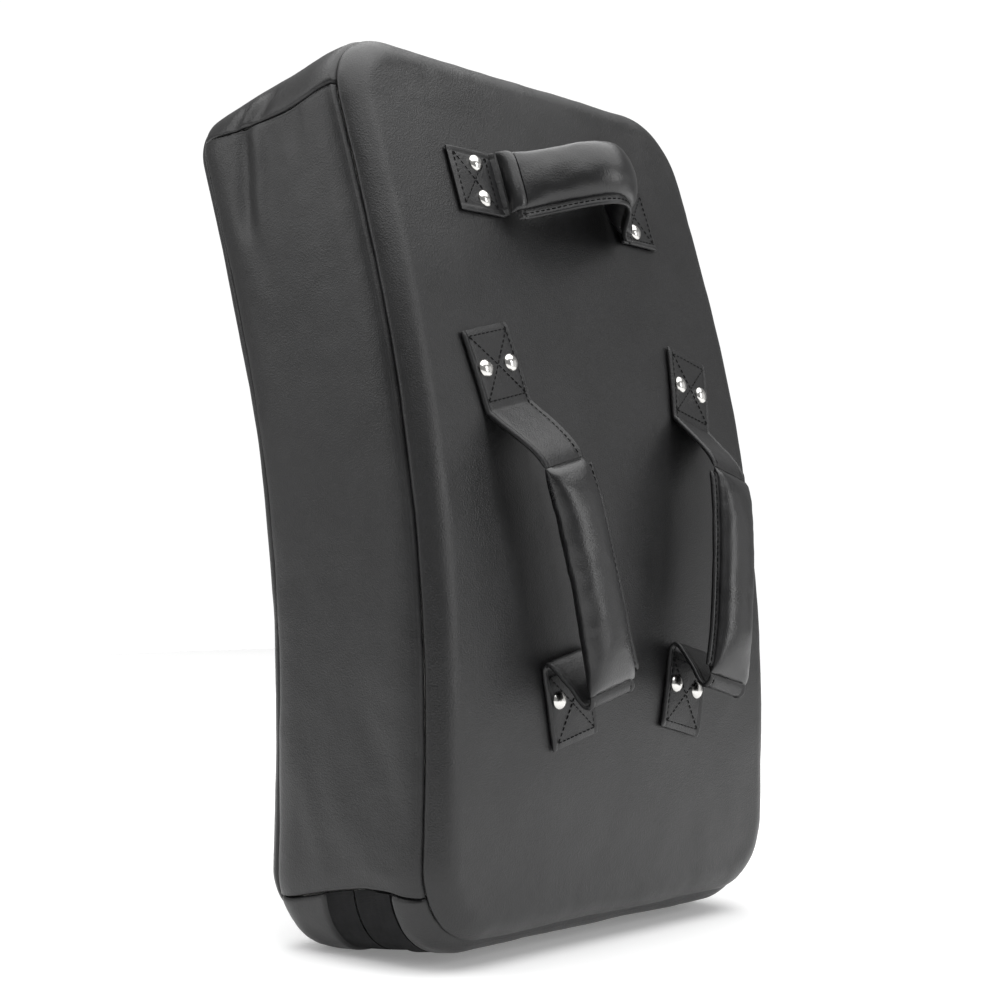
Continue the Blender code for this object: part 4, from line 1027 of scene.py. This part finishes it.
def make_grip(handle, route, ends):
    """The padded grip: a leather sleeve rolled round foam, with its sewn flange along the inner side."""
    path = smooth_route([(a, height, 0.0) for a, height in route], STRAP_STEP)
    normals = route_normals(path)
    rings, flange = [], []
    for i, ((a, height, _), (na, nh)) in enumerate(zip(path, normals)):
        run = i / (len(path) - 1)
        wide, thick = grip_size(run, ends)
        flat = ends_taper(i, len(path))
        square = 0.42 + 0.5 * (thick - GRIP_END_THICK) / (GRIP_THICK - GRIP_END_THICK)
        ring = []
        for k in range(GRIP_RING):
            turn = 2 * math.pi * (k + 0.5) / GRIP_RING
            c, d = math.cos(turn), math.sin(turn)
            w = math.copysign(abs(c) ** square, c) * wide / 2
            e = math.copysign(abs(d) ** square, d) * thick / 2 * flat
            ring.append(handle.at(a + e * na, w, height + e * nh))
        rings.append(ring)
        if 2 <= i < len(path) - 2:
            near = wide / 2 - FLANGE_UNDER
            half = FLANGE_THICK / 2 * (0.5 if i in (2, len(path) - 3) else 1.0)
            line = []
            for out, rise in FLANGE_SHAPE:
                line.append((near + out * (FLANGE_WIDE + FLANGE_UNDER), rise * half))
            section = line + [(w, -e) for w, e in reversed(line)]
            flange.append([handle.at(a + e * na, -w, height + e * nh) for w, e in section])
    cover = tube(f"{handle.name}_grip_sleeve", rings)
    crumple(cover, GRIP_WAVES, 61)
    dress(cover, GRIP, "grip_leather", handle.name, f"{handle.name}_grip_cover")
    edge = tube(f"{handle.name}_grip_flange", flange)
    crumple(edge, FLANGE_WAVES, 62)
    edge.data.materials.append(PIPING)
    spots = flange_stitches(handle, path[2:-2], normals[2:-2], ends, len(path))
    add_stitches(edge, spots)
    settle(edge, "piping_leather", handle.name, f"{handle.name}_grip_edge")


def flange_stitches(handle, path, normals, ends, count):
    wides = np.array([grip_size((i + 2) / (count - 1), ends)[0] for i in range(len(path))])

    def place_at(run, steps):
        return -(np.interp(run, steps, wides) / 2 + FLANGE_SEAM), FLANGE_THICK / 2 * FLANGE_SEAM_RISE

    return stitches_along(handle, path, normals, STITCH_PITCH / 2, 0.0, place_at)


def make_core(handle, route):
    """The strap inside a grip, which carries its foam."""
    inside = [(a, height, CORE_WIDE) for a, height in route[1:-1]]
    obj, _, _ = make_sleeve(f"{handle.name}_core_strap", handle, inside, CORE_THICK, CORE_STEP)
    dress(obj, STRAP, "strap_leather", handle.name, f"{handle.name}_strap")


def make_side_handle(handle):
    for word, route, tab, bend in (("upper", UPPER_LEG, UPPER_TAB, UPPER_BEND),
                                   ("lower", LOWER_LEG, LOWER_TAB, LOWER_BEND)):
        name = f"{handle.name}_{word}"
        make_leg(f"{name}_leg", handle, route, tab, [f"{name}_end"],
                 *(handle.at(a, 0, height) for a, height in bend))
    make_grip(handle, SIDE_PATH, SIDE_ENDS)
    make_core(handle, SIDE_PATH)


def make_top_handle():
    handle = TOP_HANDLE
    for side, word in ((1, "right"), (-1, "left")):
        node = f"top_handle_{word}_end"
        tab = sorted(side * a for a in TOP_TAB)
        make_leg(f"{node}_leg", handle, top_leg(side), tab, [node],
                 *(handle.at(side * a, 0, height) for a, height in TOP_BEND))
    make_grip(handle, TOP_PATH, TOP_ENDS)
    make_core(handle, TOP_PATH)


# ---------------------------------------------------------------- rivets


def back_matrix(x, s, height):
    """A matrix on the back panel whose Z points away from the pad."""
    across = on_back(x + RIVET_CAP, s, 0.0) - on_back(x - RIVET_CAP, s, 0.0)
    along = on_back(x, s + RIVET_CAP, 0.0) - on_back(x, s - RIVET_CAP, 0.0)
    z = across.cross(along).normalized()
    y = z.cross(across.normalized())
    turn = Matrix((across.normalized(), y, z)).transposed().to_4x4()
    return Matrix.Translation(on_back(x, s, height)) @ turn


def rivet_spots():
    rows = [("top_right", TOP_HANDLE, TOP_RIVETS), ("top_left", TOP_HANDLE, -TOP_RIVETS)]
    for handle in SIDE_HANDLES:
        word = handle.name.split("_")[0]
        rows += [(f"{word}_upper", handle, SIDE_UPPER_RIVETS), (f"{word}_lower", handle, SIDE_LOWER_RIVETS)]
    return [(f"rivet_{row}_{i}", *handle.on_panel(a, w)) for row, handle, a in rows
            for i, w in ((1, RIVET_SPACING / 2), (2, -RIVET_SPACING / 2))]


# The turned shape, as (share of the cap radius, share of the dome height), and its smallest radius
RIVET_PROFILE = [
    (0.0, 1.0), (0.18, 0.985), (0.36, 0.93), (0.54, 0.83), (0.70, 0.68), (0.82, 0.50), (0.90, 0.34),
    (0.955, 0.18), (0.985, 0.06), (1.0, -0.08), (0.985, -0.20), (0.90, -0.26), (0.30, -0.30),
    (0.30, -2.6), (0.75, -2.6), (0.75, -2.9), (0.0, -2.9),
]
RIVET_TIP = 0.004


def make_rivets():
    for name, x, s in rivet_spots():
        base = back_matrix(x, s, TAB_LIFT + STRAP_THICK + 0.0004)
        rings = []
        for radius, height in RIVET_PROFILE:
            size = max(radius, RIVET_TIP) * RIVET_CAP
            rings.append([base @ Vector((size * c, size * d, height * RIVET_DOME))
                          for c, d in unit_ring(RIVET_RING)])
        dress(tube(f"{name}_cap", rings), NICKEL, "rivet_nickel", "pad", name)


# ---------------------------------------------------------------- camera, floor and light


def make_camera():
    heading, pitch, roll = CAMERA_HEADING, CAMERA_PITCH, CAMERA_ROLL
    forward = Vector((math.sin(heading) * math.cos(pitch),
                      math.cos(heading) * math.cos(pitch),
                      math.sin(pitch)))
    right = Vector((math.cos(heading), -math.sin(heading), 0.0))
    up = right.cross(forward)
    turned_right = right * math.cos(roll) + up * math.sin(roll)
    turned_up = up * math.cos(roll) - right * math.sin(roll)
    basis = Matrix((turned_right, turned_up, -forward)).transposed().to_4x4()
    camera = bpy.data.objects.new("camera", bpy.data.cameras.new("camera"))
    camera.data.lens, camera.data.sensor_width = CAMERA_LENS, 36.0
    camera.matrix_world = Matrix.Translation(CAMERA_AT) @ basis
    bpy.context.scene.collection.objects.link(camera)
    bpy.context.scene.camera = camera


def softbox(name, at, size, radiance, aim=(0.0, 0.0, 0.32)):
    """A rectangular light of this brightness."""
    lamp = bpy.data.lights.new(name, "AREA")
    lamp.shape, lamp.size, lamp.size_y = "RECTANGLE", *size
    lamp.energy = math.pi * size[0] * size[1] * radiance
    obj = bpy.data.objects.new(name, lamp)
    obj.location = at
    obj.rotation_euler = (Vector(aim) - Vector(at)).to_track_quat("-Z", "Y").to_euler()
    bpy.context.scene.collection.objects.link(obj)


def make_world():
    """White to the camera, and a dim fill for everything else."""
    world = bpy.data.worlds.new("studio")
    world.use_nodes = True
    nodes, links = world.node_tree.nodes, world.node_tree.links
    background = nodes["Background"]
    background.inputs["Color"].default_value = (1.0, 1.0, 1.0, 1.0)
    path = nodes.new("ShaderNodeLightPath")
    links.new(spread(nodes, links, path.outputs["Is Camera Ray"], 0.0, 1.0, FILL_LIGHT, BACKDROP_LIGHT),
              background.inputs["Strength"])
    bpy.context.scene.world = world
    bpy.context.scene.view_settings.view_transform = "Standard"


def make_stage():
    corners = (-FLOOR_HALF, FLOOR_HALF)
    floor = grid_mesh("floor", [[(x, y, -FLOOR_DROP) for x in corners] for y in corners])
    made, nodes, links, shader, coords = new_material("floor_paper")
    tone = noise_node(nodes, links, coords, 3.0)
    paper = two_tone(nodes, links, tone, (0.90, 0.90, 0.90), (0.92, 0.92, 0.92))
    links.new(paper, shader.inputs["Base Color"])
    links.new(paper, shader.inputs["Emission Color"])
    shader.inputs["Emission Strength"].default_value = FLOOR_GLOW
    shader.inputs["Roughness"].default_value = 0.8
    floor.data.materials.append(made)
    make_world()
    for name, (at, size, radiance) in SOFTBOXES.items():
        softbox(name, at, size, radiance)


make_cover()
make_fillings()
make_zip()
for side_handle in SIDE_HANDLES:
    make_side_handle(side_handle)
make_top_handle()
make_rivets()
make_camera()
make_stage()
